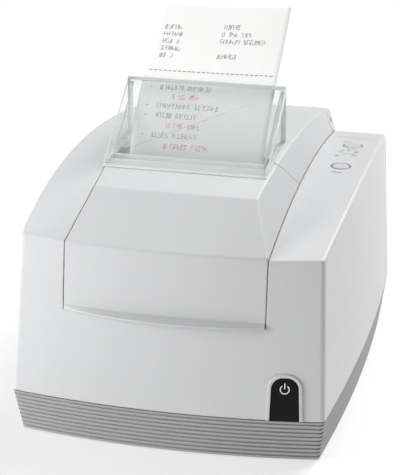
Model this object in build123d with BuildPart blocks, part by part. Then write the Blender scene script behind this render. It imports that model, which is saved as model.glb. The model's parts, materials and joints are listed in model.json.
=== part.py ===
from build123d import *
import os
from math import cos, pi, radians, sin, sqrt

# Inkjet receipt printer for a kitchen or shop counter. Millimetres, +Z up.
# +X is to the right of someone facing the printer, and the front faces -Y.
# The origin is on the surface that the printer stands on, under the middle of its footprint.

# ---------------------------------------------------------------- driving dimensions
# Body in plan: bowed front and sides, straight rear.
FRONT_Y = -110.0  # front corners, at the seam between base and case
REAR_Y = 118.1
FRONT_BOW = 8.1  # how far the middle of the front stands ahead of its corners
HALF_FRONT = 90.8  # half widths at the seam
HALF_MIDDLE = 96.6
HALF_REAR = 93.6
CORNER_R = 3.0

# Body in height.
FOOT_H = 1.2
SEAM_Z = 27.2
CREASE_Z = 118.1  # top of the upright front face
SIDE_DRAFT = 0.0455  # walls lean in by this much per millimetre of height
FRONT_LEAN = 0.1417
REAR_LEAN = 0.016
BASE_SIDE_TAPER = 0.136  # the base narrows downwards
BASE_FRONT_TAPER = 0.18
WALL = 2.5
GAP = 0.5  # seam between two mouldings
HALF_GAP = GAP / 2

# Crowned tops, as arcs seen from the side.
POD_CREST_Y = 22.8
POD_CREST_Z = 131.1
POD_CROWN_R = 556.5
HUMP_CREST_Y = 14.8
HUMP_CREST_Z = 148.0
HUMP_CROWN_R = 540.5

# Raised middle of the top, which the covers form.
LEFT_SEAM_X = -59.9
POD_SEAM_X = 56.3
RIDGE_FRONT_Y = -70.7
RIDGE_FRONT_Z = 141.2
LEFT_RIDGE_FRONT_X = -51.0
LEFT_RIDGE_REAR_X = -59.0
RIGHT_RIDGE_FRONT_X = 43.4
RIGHT_RIDGE_REAR_X = 51.5
RIDGE_REAR_Y = 116.0
LIP_Z = 79.3  # lower edge of the front cover
SPLIT_Y = -25.0  # seam between the front and the rear cover
SPLIT_END_Y = -11.0  # where that seam meets the pod

# Paper path.
PAPER_W = 80.0
PAPER_X = -3.5
PAPER_T = 0.2
WEB_Y = -30.3
SLOT_FRONT_Y = -43.0
SLOT_X0 = -50.5
SLOT_X1 = 41.0

# Cover hinge, a rolled edge along the top of the rear.
HINGE_Y = 110.3
HINGE_Z = 132.6
HINGE_R = 6.9  # barrels stand level with the crown
PIN_R = 2.0

os.makedirs("parts", exist_ok=True)
RUNNING = 0.05  # radial clearance of a shaft in its bearing


def save(piece, name):
    piece.label = name
    export_step(piece, f"parts/{name}.step")


# ---------------------------------------------------------------- shared outlines
def pod_z(y):
    return POD_CREST_Z - POD_CROWN_R + sqrt(POD_CROWN_R**2 - (y - POD_CREST_Y) ** 2)


def hump_z(y):
    return HUMP_CREST_Z - HUMP_CROWN_R + sqrt(HUMP_CROWN_R**2 - (y - HUMP_CREST_Y) ** 2)


def between(y, y0, v0, y1, v1):
    return v0 + (v1 - v0) * (y - y0) / (y1 - y0)


def left_ridge_x(y):
    return between(y, RIDGE_FRONT_Y, LEFT_RIDGE_FRONT_X, RIDGE_REAR_Y, LEFT_RIDGE_REAR_X)


def right_ridge_x(y):
    return between(y, RIDGE_FRONT_Y, RIGHT_RIDGE_FRONT_X, RIDGE_REAR_Y, RIGHT_RIDGE_REAR_X)


def front_y(z, x=HALF_FRONT):
    """Front face of the case at height z, on the bow through x."""
    bow = FRONT_BOW * (1 - (x / HALF_FRONT) ** 2)
    return FRONT_Y + FRONT_LEAN * (z - SEAM_Z) - bow


def plan_face(z, inset, front_step, side_step, rear_step):
    """Body outline in plan at height z, moved in by inset and by a step on each side."""
    y0 = FRONT_Y + front_step + inset
    y1 = REAR_Y - rear_step - inset
    apex = y0 - FRONT_BOW
    x0 = HALF_FRONT - side_step - inset
    x1 = HALF_MIDDLE - side_step - inset
    x2 = HALF_REAR - side_step - inset
    middle = (y0 + y1) / 2
    with BuildSketch(Plane.XY.offset(z)) as face:
        with BuildLine():
            ThreePointArc((-x0, y0), (0, apex), (x0, y0))
            ThreePointArc((x0, y0), (x1, middle), (x2, y1))
            Line((x2, y1), (-x2, y1))
            ThreePointArc((-x2, y1), (-x1, middle), (-x0, y0))
        make_face()
        fillet(face.vertices(), max(CORNER_R - inset, 0.5))
    return face.sketch


def case_plan(z, inset=0.0):
    rise = z - SEAM_Z
    return plan_face(z, inset, FRONT_LEAN * rise, SIDE_DRAFT * rise, REAR_LEAN * rise)


def base_plan(z, inset=0.0):
    drop = SEAM_Z - z
    return plan_face(z, inset, BASE_FRONT_TAPER * drop, BASE_SIDE_TAPER * drop, 0.1 * drop)


def tapered(plan, z0, z1, inset=0.0):
    """Solid between two heights of an outline that changes with height."""
    with BuildPart() as body:
        add(plan(z0, inset))
        add(plan(z1, inset))
        loft(ruled=True)
    return body.part


def walls(inset, z0=SEAM_Z, z1=165.0):
    return tapered(case_plan, z0, z1, inset)


def band(plan, z0, z1, outer, inner):
    """Closed band that follows an outline, between two insets."""
    return tapered(plan, z0, z1, outer) - tapered(plan, z0 - 0.01, z1 + 0.01, inner)


def under_crown(crest_y, crest_z, radius, x0, x1, z0=-20.0):
    """Everything below a crowned top, between two sides."""
    reach = 150.0
    edge = crest_z - radius + sqrt(radius**2 - reach**2)
    with BuildPart() as body:
        with BuildSketch(Plane.YZ.offset(x0)):
            with BuildLine():
                ThreePointArc((crest_y - reach, edge), (crest_y, crest_z), (crest_y + reach, edge))
                Polyline(
                    (crest_y + reach, edge),
                    (crest_y + reach, z0),
                    (crest_y - reach, z0),
                    (crest_y - reach, edge),
                )
            make_face()
        extrude(amount=x1 - x0)
    return body.part


SHOULDER_STATIONS = (-70.7, -40.0, -5.0, 35.0, 78.0, 125.0)


def shoulder_ridge(y):
    """Point of the left ridge at station y: it climbs from the front crease, then follows the crown."""
    foot_y = front_y(CREASE_Z, LEFT_SEAM_X)
    if y <= foot_y:
        return LEFT_SEAM_X, CREASE_Z
    if y < RIDGE_FRONT_Y:
        x = between(y, foot_y, LEFT_SEAM_X, RIDGE_FRONT_Y, LEFT_RIDGE_FRONT_X)
        return x, between(y, foot_y, CREASE_Z, RIDGE_FRONT_Y, RIDGE_FRONT_Z)
    return left_ridge_x(y), hump_z(y)


def shoulder(inset):
    """The broad left face, from the top of the left wall up to the ridge."""
    foot_y = front_y(CREASE_Z, LEFT_SEAM_X)
    edge_x = -92.0
    far_x = -112.0
    low = 20.0

    def section(y):
        ridge_x, ridge_z = shoulder_ridge(y)
        edge_z = max(pod_z(y), CREASE_Z - 0.4) if y > foot_y else CREASE_Z
        slope = (ridge_z - edge_z) / (ridge_x - edge_x)
        top = ridge_z - inset
        with BuildSketch(Plane.XZ.offset(-y)) as face:
            Polygon(
                (far_x, low),
                (0, low),
                (0, top + slope * (0 - ridge_x)),
                (far_x, top + slope * (far_x - ridge_x)),
                align=None,
            )
        return face.sketch

    with BuildPart() as front:
        add(section(-125.0))
        add(section(foot_y))
        loft(ruled=True)
    with BuildPart() as climb:
        for y in (foot_y, foot_y + 10.5, foot_y + 21.0, RIDGE_FRONT_Y):
            add(section(y))
        loft(ruled=True)
    with BuildPart() as back:
        for y in SHOULDER_STATIONS:
            add(section(y))
        loft()
    return front.part + climb.part + back.part


def behind_facet(inset):
    """Everything behind the sloped facet of the front cover, a ruled face between two bowed lines."""
    slope_run = (RIDGE_FRONT_Y - front_y(CREASE_Z, LEFT_SEAM_X)) / (RIDGE_FRONT_Z - CREASE_Z)
    reach = 86.0

    def section(z):
        climbed = (z - CREASE_Z) / (RIDGE_FRONT_Z - CREASE_Z)
        bow = FRONT_BOW * (1 - 0.7 * climbed)
        corner = FRONT_Y + FRONT_LEAN * (CREASE_Z - SEAM_Z) + slope_run * (z - CREASE_Z) + inset
        corner -= 3.0 * climbed
        with BuildSketch(Plane.XY.offset(z)) as face:
            with BuildLine():
                ThreePointArc((-reach, corner), (0, corner - bow), (reach, corner))
                Polyline((reach, corner), (reach, 130), (-reach, 130), (-reach, corner))
            make_face()
        return face.sketch

    # The facet runs on past the crease, where the leaning front face takes over.
    foot_z = CREASE_Z - 6
    below = block(-reach, reach, -130, 130, foot_z - 104, foot_z)
    with BuildPart() as facet:
        add(section(foot_z))
        add(section(RIDGE_FRONT_Z + 8))
        loft(ruled=True)
    return below + facet.part


def pod_flank(inset):
    """Everything left of the narrow slanted face that drops from the right ridge to the pod."""
    def section(y):
        base_x = POD_SEAM_X
        base_z = pod_z(y)
        ridge_x = right_ridge_x(y)
        ridge_z = hump_z(y) if y >= RIDGE_FRONT_Y else base_z + 1.47 * (base_x - ridge_x)
        lean = (ridge_x - base_x) / (ridge_z - base_z)
        shift = inset * 1.2
        with BuildSketch(Plane.XZ.offset(-y)) as face:
            Polygon(
                (-120, 60),
                (base_x + lean * (60 - base_z) - shift, 60),
                (base_x + lean * (175 - base_z) - shift, 175),
                (-120, 175),
                align=None,
            )
        return face.sketch

    with BuildPart() as body:
        for y in (-125.0, RIDGE_FRONT_Y, -25.0, 22.0, 70.0, 125.0):
            add(section(y))
        loft()
    return body.part


def hump(inset):
    """The raised middle of the top: facet, crowned top and right slanted face."""
    crown = under_crown(HUMP_CREST_Y, HUMP_CREST_Z - inset, HUMP_CROWN_R - inset, -80.0, 80.0, 40.0)
    return crown & behind_facet(inset) & pod_flank(inset)


def cover_outer():
    """Outer form of the raised middle with its edges rounded."""
    form = hump(0) & walls(0)
    upper = form.edges().filter_by(lambda e: e.length > 60 and abs(e.center().Y - RIDGE_FRONT_Y) < 4)
    form = form.fillet(3.0, upper.filter_by(lambda e: abs(e.center().Z - RIDGE_FRONT_Z) < 2.5))
    crease = form.edges().filter_by(lambda e: e.length > 60 and abs(e.center().Z - CREASE_Z) < 1)
    form = form.fillet(2.2, crease)
    ridge = form.edges().filter_by(lambda e: 40 < e.center().X < 54 and e.center().Z > 125 and e.length > 15)
    return form.fillet(1.6, ridge)


def cover_plan(clearance, z0, z1, y0=-130.0, y1=130.0):
    """Prism over the opening that the covers close, seen from above."""
    seam_foot = front_y(CREASE_Z, LEFT_SEAM_X)
    with BuildPart() as body:
        with BuildSketch(Plane.XY.offset(z0)):
            Polygon(
                (LEFT_SEAM_X + clearance, y0),
                (POD_SEAM_X - clearance, y0),
                (POD_SEAM_X - clearance, y1),
                (left_ridge_x(y1) + clearance, y1),
                (LEFT_RIDGE_FRONT_X + clearance, RIDGE_FRONT_Y),
                (LEFT_SEAM_X + clearance, seam_foot),
                align=None,
            )
        extrude(amount=z1 - z0)
    return body.part


def block(x0, x1, y0, y1, z0, z1):
    """Plain box between two corners, for cutting and joining."""
    with BuildPart() as body:
        with Locations(((x0 + x1) / 2, (y0 + y1) / 2, (z0 + z1) / 2)):
            Box(x1 - x0, y1 - y0, z1 - z0)
    return body.part


def rod(x0, x1, y, z, radius):
    """Round bar along X."""
    with BuildPart() as body:
        with BuildSketch(Plane.YZ.offset(x0)):
            with Locations((y, z)):
                Circle(radius)
        extrude(amount=x1 - x0)
    return body.part


def post(x, y, z0, z1, radius):
    """Round bar along Z."""
    with BuildPart() as body:
        with BuildSketch(Plane.XY.offset(z0)):
            with Locations((x, y)):
                Circle(radius)
        extrude(amount=z1 - z0)
    return body.part


def peg(x, z, y0, y1, radius):
    """Round bar along Y."""
    with BuildPart() as body:
        with BuildSketch(Plane.XZ.offset(-y0)):
            with Locations((x, z)):
                Circle(radius)
        extrude(amount=-(y1 - y0))
    return body.part


def yz_plate(points, x0, x1):
    """Flat plate square to X, from its outline in Y and Z."""
    with BuildPart() as body:
        with BuildSketch(Plane.YZ.offset(x0)):
            Polygon(*points, align=None)
        extrude(amount=x1 - x0)
    return body.part


# ---------------------------------------------------------------- base tray
BASE_TOP = SEAM_Z - 0.6
RIB_COUNT = 9
RIB_PITCH = 2.7
RIB_DEPTH = 0.55
FLOOR_T = 2.5
FOOT_XY = ((-72.0, -84.0), (72.0, -84.0), (-75.0, 95.0), (75.0, 95.0))
FOOT_R = 8.0
SCREW_XY = ((-79.0, -94.0), (79.0, -90.0), (-84.0, 100.0), (84.0, 100.0))
SCREW_SHANK_R = 1.45
SCREW_HEAD_R = 3.0
POST_R = 4.6
BORE_DEPTH = 6.0
FOOT_SINK = 0.8
CASE_BOSS_Z = 31.4  # screw posts of the base meet the bosses of the case here
BOARD_Z = 9.5
BOARD_T = 1.6
BOARD_HOLES = ((-54.0, 0.0), (54.0, 0.0), (-54.0, 96.0), (54.0, 96.0))
CHASSIS_Z = 30.4
CHASSIS_T = 1.2
COLUMN_XY = ((-50.0, -80.0), (66.0, -80.0), (-50.0, -18.0), (74.0, -18.0), (-66.0, 90.0), (66.0, 90.0))
COLUMN_BORE = 9.0
PORT_X0 = -52.0
PORT_X1 = 40.0
PORT_Z0 = 9.0


def make_base_tray():
    floor_top = FOOT_H + FLOOR_T
    tray = tapered(base_plan, FOOT_H, BASE_TOP)
    tray -= tapered(base_plan, floor_top, BASE_TOP + 0.1, WALL)
    for number in range(RIB_COUNT):
        groove_z = FOOT_H + 1.6 + number * RIB_PITCH
        tray -= band(base_plan, groove_z, groove_z + 1.0, -1.0, RIB_DEPTH)
    # Rim that stands up inside the case, cut away behind the power button.
    tray += band(base_plan, BASE_TOP - 3.0, BASE_TOP, WALL - 0.1, WALL + 1.4)
    tray += band(case_plan, BASE_TOP, BASE_TOP + 3.6, WALL + 0.3, WALL + 1.4)
    tray -= arch_solid(1.9, -12, 8, -6.0) & block(0, 120, -130, -80, BASE_TOP, 60)
    with BuildPart() as base_tray:
        add(tray)
        # Screw posts, with a counterbore from below.
        with BuildSketch(Plane.XY.offset(FOOT_H)):
            with Locations(*SCREW_XY):
                Circle(POST_R)
        extrude(amount=CASE_BOSS_Z - FOOT_H)
        with BuildSketch(Plane.XY.offset(FOOT_H)):
            with Locations(*SCREW_XY):
                Circle(SCREW_HEAD_R + 0.4)
        extrude(amount=BORE_DEPTH, mode=Mode.SUBTRACT)
        with BuildSketch(Plane.XY.offset(FOOT_H)):
            with Locations(*SCREW_XY):
                Circle(SCREW_SHANK_R + 0.35)
        extrude(amount=40, mode=Mode.SUBTRACT)
        # Foot pockets.
        with BuildSketch(Plane.XY.offset(FOOT_H)):
            with Locations(*FOOT_XY):
                Circle(FOOT_R + 0.1)
        extrude(amount=FOOT_SINK, mode=Mode.SUBTRACT)
        # Standoffs for the main board and columns for the chassis.
        with BuildSketch(Plane.XY.offset(floor_top)):
            with Locations(*BOARD_HOLES):
                Circle(3.2)
        extrude(amount=BOARD_Z - floor_top)
        with BuildSketch(Plane.XY.offset(floor_top)):
            with Locations(*COLUMN_XY):
                Circle(4.0)
        extrude(amount=CHASSIS_Z - floor_top)
        with BuildSketch(Plane.XY.offset(CHASSIS_Z - COLUMN_BORE)):
            with Locations(*COLUMN_XY):
                Circle(SCREW_SHANK_R)
        extrude(amount=COLUMN_BORE, mode=Mode.SUBTRACT)
        # Opening in the rear wall for the interface plate.
        with BuildSketch(Plane.XZ.offset(-REAR_Y + 12)):
            with Locations(((PORT_X0 + PORT_X1) / 2, (PORT_Z0 + BASE_TOP + 4) / 2)):
                Rectangle(PORT_X1 - PORT_X0, BASE_TOP + 4 - PORT_Z0)
        extrude(amount=-30, mode=Mode.SUBTRACT)
    save(base_tray.part, "base_tray")


def make_feet():
    with BuildPart() as rubber_feet:
        with BuildSketch():
            with Locations(*FOOT_XY):
                Circle(FOOT_R)
        extrude(amount=FOOT_H + FOOT_SINK)
        chamfer(rubber_feet.faces().sort_by(Axis.Z)[:4].edges(), 0.6)
    save(rubber_feet.part, "rubber_feet")


def make_case_screws():
    seat = FOOT_H + BORE_DEPTH
    with BuildPart() as case_screws:
        with BuildSketch(Plane.XY.offset(seat - 2.2)):
            with Locations(*SCREW_XY):
                Circle(SCREW_HEAD_R)
        extrude(amount=2.2)
        with BuildSketch(Plane.XY.offset(seat)):
            with Locations(*SCREW_XY):
                Circle(SCREW_SHANK_R)
        extrude(amount=CASE_BOSS_Z + 9 - seat)
        with BuildSketch(Plane.XY.offset(seat - 2.2)):
            for place in SCREW_XY:
                with Locations(place):
                    Rectangle(3.6, 0.8)
                    Rectangle(0.8, 3.6)
        extrude(amount=1.2, mode=Mode.SUBTRACT)
    save(case_screws.part, "case_screws")


# ---------------------------------------------------------------- case
REAR_BAR_Z = HINGE_Z - HINGE_R - 0.6
CORNER_X = 50.4
CORNER_Y = 108.9
LUG_LEFT = (-58.4, -50.6)
LUG_RIGHT = (47.1, 49.4)
BUTTON_XY = ((74.8, 24.0), (74.8, 70.0))  # reset button in front, feed button behind
BUTTON_R = 5.3
BUTTON_HOLE_R = 5.9
LIGHT_XY = ((68.9, 44.1), (70.4, 56.4), (74.1, 57.5), (79.1, 55.0))
LIGHT_R = 1.0
PANEL_Z = 117.0  # underside of the control board
PANEL_HOLES = ((65.0, 14.0), (83.0, 14.0), (65.0, 81.0), (83.0, 81.0))


def case_solid(inset):
    pod = under_crown(POD_CREST_Y, POD_CREST_Z - inset, POD_CROWN_R - inset, 0, 120)
    return walls(inset, SEAM_Z if inset == 0 else SEAM_Z - 0.1) & (pod + shoulder(inset))


def case_shape():
    """Case before its fittings: a shell with the opening for the covers cut out."""
    outer = case_solid(0)
    near_crease = outer.edges().filter_by(lambda e: abs(e.center().Z - CREASE_Z) < 3 and e.center().Y < -90)
    outer = outer.fillet(2.2, near_crease.filter_by(lambda e: e.length > 15))
    high = outer.edges().filter_by(lambda e: e.length > 150 and e.center().Z > 120)
    sides = high.filter_by(lambda e: abs(e.center().X) > 80)
    outer = outer.fillet(3.0, sides)
    shell = outer - case_solid(WALL)
    opening = cover_plan(-HALF_GAP, LIP_Z - HALF_GAP, 200, y1=112.5)
    opening += cover_plan(-HALF_GAP, REAR_BAR_Z, 200, y0=100)
    shell -= opening
    raised = cover_outer()
    corner = block(CORNER_X, POD_SEAM_X + 0.6, CORNER_Y, 130, REAR_BAR_Z - 12, HINGE_Z - 4)
    corner += rod(CORNER_X, POD_SEAM_X + 0.6, HINGE_Y, HINGE_Z, HINGE_R)
    rear_bar = block(-58.0, POD_SEAM_X, 113.6, 130, 115, REAR_BAR_Z)
    for x0, x1 in (LUG_LEFT, LUG_RIGHT):
        lug = rod(x0, x1, HINGE_Y, HINGE_Z, HINGE_R)
        lug += block(x0, x1, HINGE_Y + 1.0, HINGE_Y + 5.2, REAR_BAR_Z - 3, HINGE_Z)
        shell += raised & lug
    shell += raised & corner
    shell += raised & rear_bar
    shell -= rod(-70, 70, HINGE_Y, HINGE_Z, PIN_R + 0.02)
    return shell


POWER_X = 68.8
POWER_FOOT_HALF = 8.2
POWER_TOP_HALF = 7.3
POWER_H = 24.9
POWER_STEM_V = 15.0  # height of the stem above the foot of the button
FLANGE_Y = -93.2  # front face of the chassis flange


def power_plane():
    """Plane on the front face at the foot of the power button, its normal pointing out."""
    bow_slope = 2 * FRONT_BOW * POWER_X / HALF_FRONT**2
    across = Vector(1, bow_slope, 0).normalized()
    upward = Vector(0, FRONT_LEAN, 1).normalized()
    foot = (POWER_X, front_y(SEAM_Z, POWER_X), SEAM_Z)
    return Plane(origin=foot, x_dir=across, z_dir=across.cross(upward))


def arch_outline(margin, foot):
    """Arched outline in the current sketch, larger than the button by margin."""
    low_half = between(foot, 0, POWER_FOOT_HALF, POWER_H, POWER_TOP_HALF) + margin
    top_half = POWER_TOP_HALF + margin
    height = POWER_H + margin
    shape = Polygon((-low_half, foot), (low_half, foot), (top_half, height), (-top_half, height), align=None)
    fillet(shape.vertices().sort_by(Axis.Y)[-2:], top_half * 0.88)


def arch_solid(margin, inner, outer, foot=0.0, bevel=0.0):
    """The arched outline as a solid, from inner to outer, measured out of the front face."""
    with BuildPart() as body:
        with BuildSketch(power_plane().offset(inner)):
            arch_outline(margin, foot)
        extrude(amount=outer - bevel - inner)
        if bevel:
            with BuildSketch(power_plane().offset(outer - bevel)):
                arch_outline(margin, foot)
            with BuildSketch(power_plane().offset(outer)):
                arch_outline(margin - bevel, foot + bevel)
            loft(ruled=True)
    return body.part


def make_main_case():
    case = case_shape()
    case -= arch_solid(1.2, -12, 12, -3.0)
    with BuildPart() as main_case:
        add(case)
        # Button and light holes through the pod top.
        with BuildSketch(Plane.XY.offset(124)):
            with Locations(*BUTTON_XY):
                Circle(BUTTON_HOLE_R)
            with Locations(*LIGHT_XY):
                Circle(LIGHT_R + 0.05)
        extrude(amount=12, mode=Mode.SUBTRACT)
        # Bosses that the case screws bite into, each webbed to the wall beside it.
        with BuildSketch(Plane.XY.offset(CASE_BOSS_Z)):
            for x, y in SCREW_XY:
                wall_x = 89.6 if y < 0 else 92.0
                side = 1 if x > 0 else -1
                with Locations((x, y)):
                    Circle(4.2)
                with Locations(((x + side * wall_x) / 2, y)):
                    Rectangle(wall_x - abs(x), 2.4)
        extrude(amount=14)
        with BuildSketch(Plane.XY.offset(CASE_BOSS_Z)):
            with Locations(*SCREW_XY):
                Circle(SCREW_SHANK_R)
        extrude(amount=11, mode=Mode.SUBTRACT)
        # Pillars that carry the control board under the pod.
        for x, y in PANEL_HOLES:
            add(post(x, y, PANEL_Z + BOARD_T, pod_z(y) - 1.0, 2.6))
        # Louvres that let the rear breathe.
        for level in range(6):
            with BuildSketch(Plane.XZ.offset(-REAR_Y - 2)):
                with Locations((0, 52 + 7 * level)):
                    SlotOverall(70, 2.4)
            extrude(amount=8, mode=Mode.SUBTRACT)
    save(main_case.part, "main_case")


# ---------------------------------------------------------------- power button
def make_power_bezel():
    ring = arch_solid(2.1, 0.0, 0.9, bevel=0.4)
    ring += arch_solid(1.15, -4.0, 0.5)
    ring -= arch_solid(0.2, -8, 4, -3.0)
    save(ring, "power_bezel")


def make_power_button():
    cap = arch_solid(0.0, -5.0, 0.2, 0.3, bevel=0.4)
    with BuildPart() as power_button:
        add(cap)
        with BuildSketch(power_plane().offset(-5.0)):
            with Locations((0, POWER_STEM_V)):
                Circle(3)
        extrude(amount=-2.5)
    save(power_button.part, "power_button")


def make_power_switch():
    """Switch on its own small board, which stands on two spacers in front of the chassis."""
    plane = power_plane()
    with BuildPart() as power_switch:
        with BuildSketch(plane.offset(-9.5)):
            with Locations((0, POWER_STEM_V)):
                Rectangle(11, 11)
        extrude(amount=-2.9)
        with BuildSketch(plane.offset(-8.8)):
            with Locations((0, POWER_STEM_V)):
                Circle(1.8)
        extrude(amount=-0.7)
        with BuildSketch(plane.offset(-12.4)):
            with Locations((0, POWER_STEM_V + 1)):
                Rectangle(12, 22)
        extrude(amount=-BOARD_T)
        for level in (36.0, 51.0):
            with BuildSketch(Plane.XZ.offset(-FLANGE_Y)):
                with Locations((POWER_X - 2.2, level)):
                    Circle(2.0)
            extrude(amount=5.4)
    save(power_switch.part, "power_switch")


# ---------------------------------------------------------------- front cover
LIP_REACH = 6.0
LIP_TOP_Z = 82.0
COVER_X0 = LEFT_SEAM_X + HALF_GAP
COVER_X1 = POD_SEAM_X - HALF_GAP
ARM_X = ((-50.0, -47.0), (43.6, 46.6))
ARM_TOP_Z = 134.0
ARM_LOW_Z = 124.0


def split_prism(rear, clearance):
    """Space in front of the seam between the covers, or behind it."""
    ridge = right_ridge_x(SPLIT_Y)
    run = (SPLIT_END_Y - SPLIT_Y) / (POD_SEAM_X - ridge)
    far_x = 70.0
    edge = [(-80, SPLIT_Y), (ridge, SPLIT_Y), (far_x, SPLIT_Y + run * (far_x - ridge))]
    shift = clearance if rear else -clearance
    edge = [(x, y + shift) for x, y in edge]
    limit = 130 if rear else -140
    with BuildPart() as body:
        with BuildSketch(Plane.XY.offset(50)):
            Polygon(*edge, (far_x, limit), (-80, limit), align=None)
        extrude(amount=120)
    return body.part


def cover_shell():
    """Both covers as one skin, before they are parted."""
    outer = cover_outer() & cover_plan(HALF_GAP, LIP_Z, 200)
    inner = hump(WALL) & walls(WALL) & cover_plan(HALF_GAP + 2.2, LIP_Z - 5, 200)
    shell = outer - inner
    skirt_low = under_crown(POD_CREST_Y, POD_CREST_Z - 7, POD_CROWN_R, -80, 80)
    return shell - (skirt_low & block(-80, 80, -94, 130, 0, 200))


def lip_shape():
    """Crescent finger lip along the lower edge of the front cover."""
    def crescent(z, reach):
        edge = front_y(z, LEFT_SEAM_X)
        middle = front_y(z, 0)
        left = (COVER_X0, edge - reach * 0.05)
        right = (COVER_X1, edge - reach * 0.35)
        with BuildSketch(Plane.XY.offset(z)) as face:
            with BuildLine():
                ThreePointArc(left, (-2, middle - reach), right)
                Polyline(right, (COVER_X1, edge + 2.6), (COVER_X0, edge + 2.6), left)
            make_face()
        return face.sketch

    with BuildPart() as body:
        add(crescent(LIP_Z, LIP_REACH))
        add(crescent(LIP_Z + 1.2, LIP_REACH))
        loft(ruled=True)
        add(crescent(LIP_Z + 1.2, LIP_REACH))
        add(crescent(LIP_TOP_Z, 0.2))
        loft(ruled=True)
    return body.part


def arm(x0, x1, front_end):
    """Hinge arm: a deep plate under the rear cover, ending in a knuckle round the hinge pin."""
    points = (
        (front_end, ARM_LOW_Z),
        (70, ARM_LOW_Z),
        (HINGE_Y - 3, HINGE_Z - 3.5),
        (HINGE_Y - 1, HINGE_Z + 3),
        (70, ARM_TOP_Z),
        (front_end, ARM_TOP_Z),
    )
    return (yz_plate(points, x0, x1) + rod(x0, x1, HINGE_Y, HINGE_Z, HINGE_R)) & hump(0)


def make_front_cover():
    cover = cover_shell() & split_prism(False, HALF_GAP)
    cover -= block(SLOT_X0, SLOT_X1, SLOT_FRONT_Y, 0, 100, 160)
    cover += lip_shape()
    (left0, left1), (right0, right1) = ARM_X
    cover += arm(left0, left1, -58.0)
    cover += arm(right0, right1, -58.0)
    cover += block(-52.6, left1, -58, -30, ARM_LOW_Z, ARM_TOP_Z)
    cover += block(right0, 51.5, -58, -30, ARM_LOW_Z + 2, ARM_LOW_Z + 7)
    cover += block(left1, right0, -54, -51.5, ARM_LOW_Z + 3, ARM_TOP_Z)
    cover -= rod(-70, 70, HINGE_Y, HINGE_Z, PIN_R + RUNNING)
    save(cover, "front_cover")


# ---------------------------------------------------------------- rear cover
BARREL_X = (-46.5, 43.1)
TEAR_Y = -18.4


def make_rear_cover():
    cover = cover_shell() & split_prism(True, HALF_GAP)
    cover -= block(SLOT_X0, SLOT_X1, -60, TEAR_Y + 0.8, 100, 160)
    cover -= block(-80, 80, HINGE_Y, 140, 50, 200)
    cover -= block(CORNER_X - GAP, 80, CORNER_Y - GAP, 140, 50, 200)
    # The skin ends short of the round knuckles, and so turns past them.
    cover -= rod(-80, BARREL_X[0], HINGE_Y, HINGE_Z, HINGE_R + GAP)
    cover -= rod(BARREL_X[1], 80, HINGE_Y, HINGE_Z, HINGE_R + GAP)
    cover += rod(BARREL_X[0], BARREL_X[1], HINGE_Y, HINGE_Z, HINGE_R)
    cover -= rod(-70, 70, HINGE_Y, HINGE_Z, PIN_R + RUNNING)
    # Side skirts stop short of the knuckles.
    cover -= block(-80, -46.6, 96, 140, 50, 134)
    cover -= block(43.2, CORNER_X, 96, 140, 50, 134)
    save(cover, "rear_cover")


def make_tear_bar():
    """Serrated steel strip behind the paper slot."""
    pitch = 2.0
    x0 = SLOT_X0 + 4
    count = int((SLOT_X1 - 3 - x0) / pitch)
    teeth = [(x0, 139.0)]
    for number in range(count):
        teeth.append((x0 + number * pitch, 146.6))
        teeth.append((x0 + (number + 0.5) * pitch, 147.8))
    teeth.append((x0 + count * pitch, 146.6))
    teeth.append((x0 + count * pitch, 139.0))
    with BuildPart() as tear_bar:
        with BuildSketch(Plane.XZ.offset(-TEAR_Y)):
            Polygon(*teeth, align=None)
        extrude(amount=-0.8)
    save(tear_bar.part, "tear_bar")


def make_hinge_pin():
    with BuildPart() as hinge_pin:
        add(rod(LUG_LEFT[0] + 0.6, CORNER_X + 3, HINGE_Y, HINGE_Z, PIN_R))
    save(hinge_pin.part, "hinge_pin")


# ---------------------------------------------------------------- splash guard
GUARD_X0 = -53.0
GUARD_X1 = 43.6
GUARD_T = 3.0
GUARD_FOOT_Y = -47.2
GUARD_TOP_Y = 10.0
GUARD_TOP_Z = 182.8
GUARD_LIFT = 0.4


def make_splash_guard():
    foot_z = hump_z(GUARD_FOOT_Y) + GUARD_LIFT
    run = GUARD_TOP_Y - GUARD_FOOT_Y
    rise = GUARD_TOP_Z - foot_z
    length = sqrt(run**2 + rise**2)
    back = (GUARD_T * rise / length, -GUARD_T * run / length)
    sheet = (
        (GUARD_FOOT_Y, foot_z),
        (GUARD_TOP_Y, GUARD_TOP_Z),
        (GUARD_TOP_Y + back[0], GUARD_TOP_Z + back[1]),
        (GUARD_FOOT_Y + back[0] + 3.6, foot_z),
    )
    side = (
        (GUARD_FOOT_Y, foot_z),
        (GUARD_TOP_Y, GUARD_TOP_Z),
        (GUARD_TOP_Y, hump_z(GUARD_TOP_Y) - 1),
        (SPLIT_Y + 1.2, hump_z(SPLIT_Y) - 1),
        (SPLIT_Y + 1.2, hump_z(SPLIT_Y) + GUARD_LIFT),
    )
    rib_y = -36.0
    rib_z = foot_z + (rib_y - GUARD_FOOT_Y) * rise / run
    rib = ((rib_y - 2.4, rib_z - 2), (rib_y, rib_z - 2), (rib_y, foot_z + 1.4), (rib_y - 2.4, foot_z + 1.4))
    guard = yz_plate(sheet, GUARD_X0, GUARD_X1)
    guard += yz_plate(side, GUARD_X0, GUARD_X0 + GUARD_T)
    guard += yz_plate(side, GUARD_X1 - GUARD_T, GUARD_X1)
    guard += yz_plate(rib, GUARD_X0 + GUARD_T, GUARD_X1 - GUARD_T)
    guard -= under_crown(HUMP_CREST_Y, HUMP_CREST_Z, HUMP_CROWN_R, -80, 80)
    save(guard, "splash_guard")


# ---------------------------------------------------------------- receipt
def sheet_along(points):
    """Paper of width PAPER_W that follows a smooth line in Y and Z."""
    with BuildPart() as body:
        with BuildSketch(Plane.YZ.offset(PAPER_X - PAPER_W / 2)):
            with BuildLine() as centre:
                Spline(*points)
            trace(centre.line, PAPER_T)
        extrude(amount=PAPER_W)
    return body.part


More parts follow.
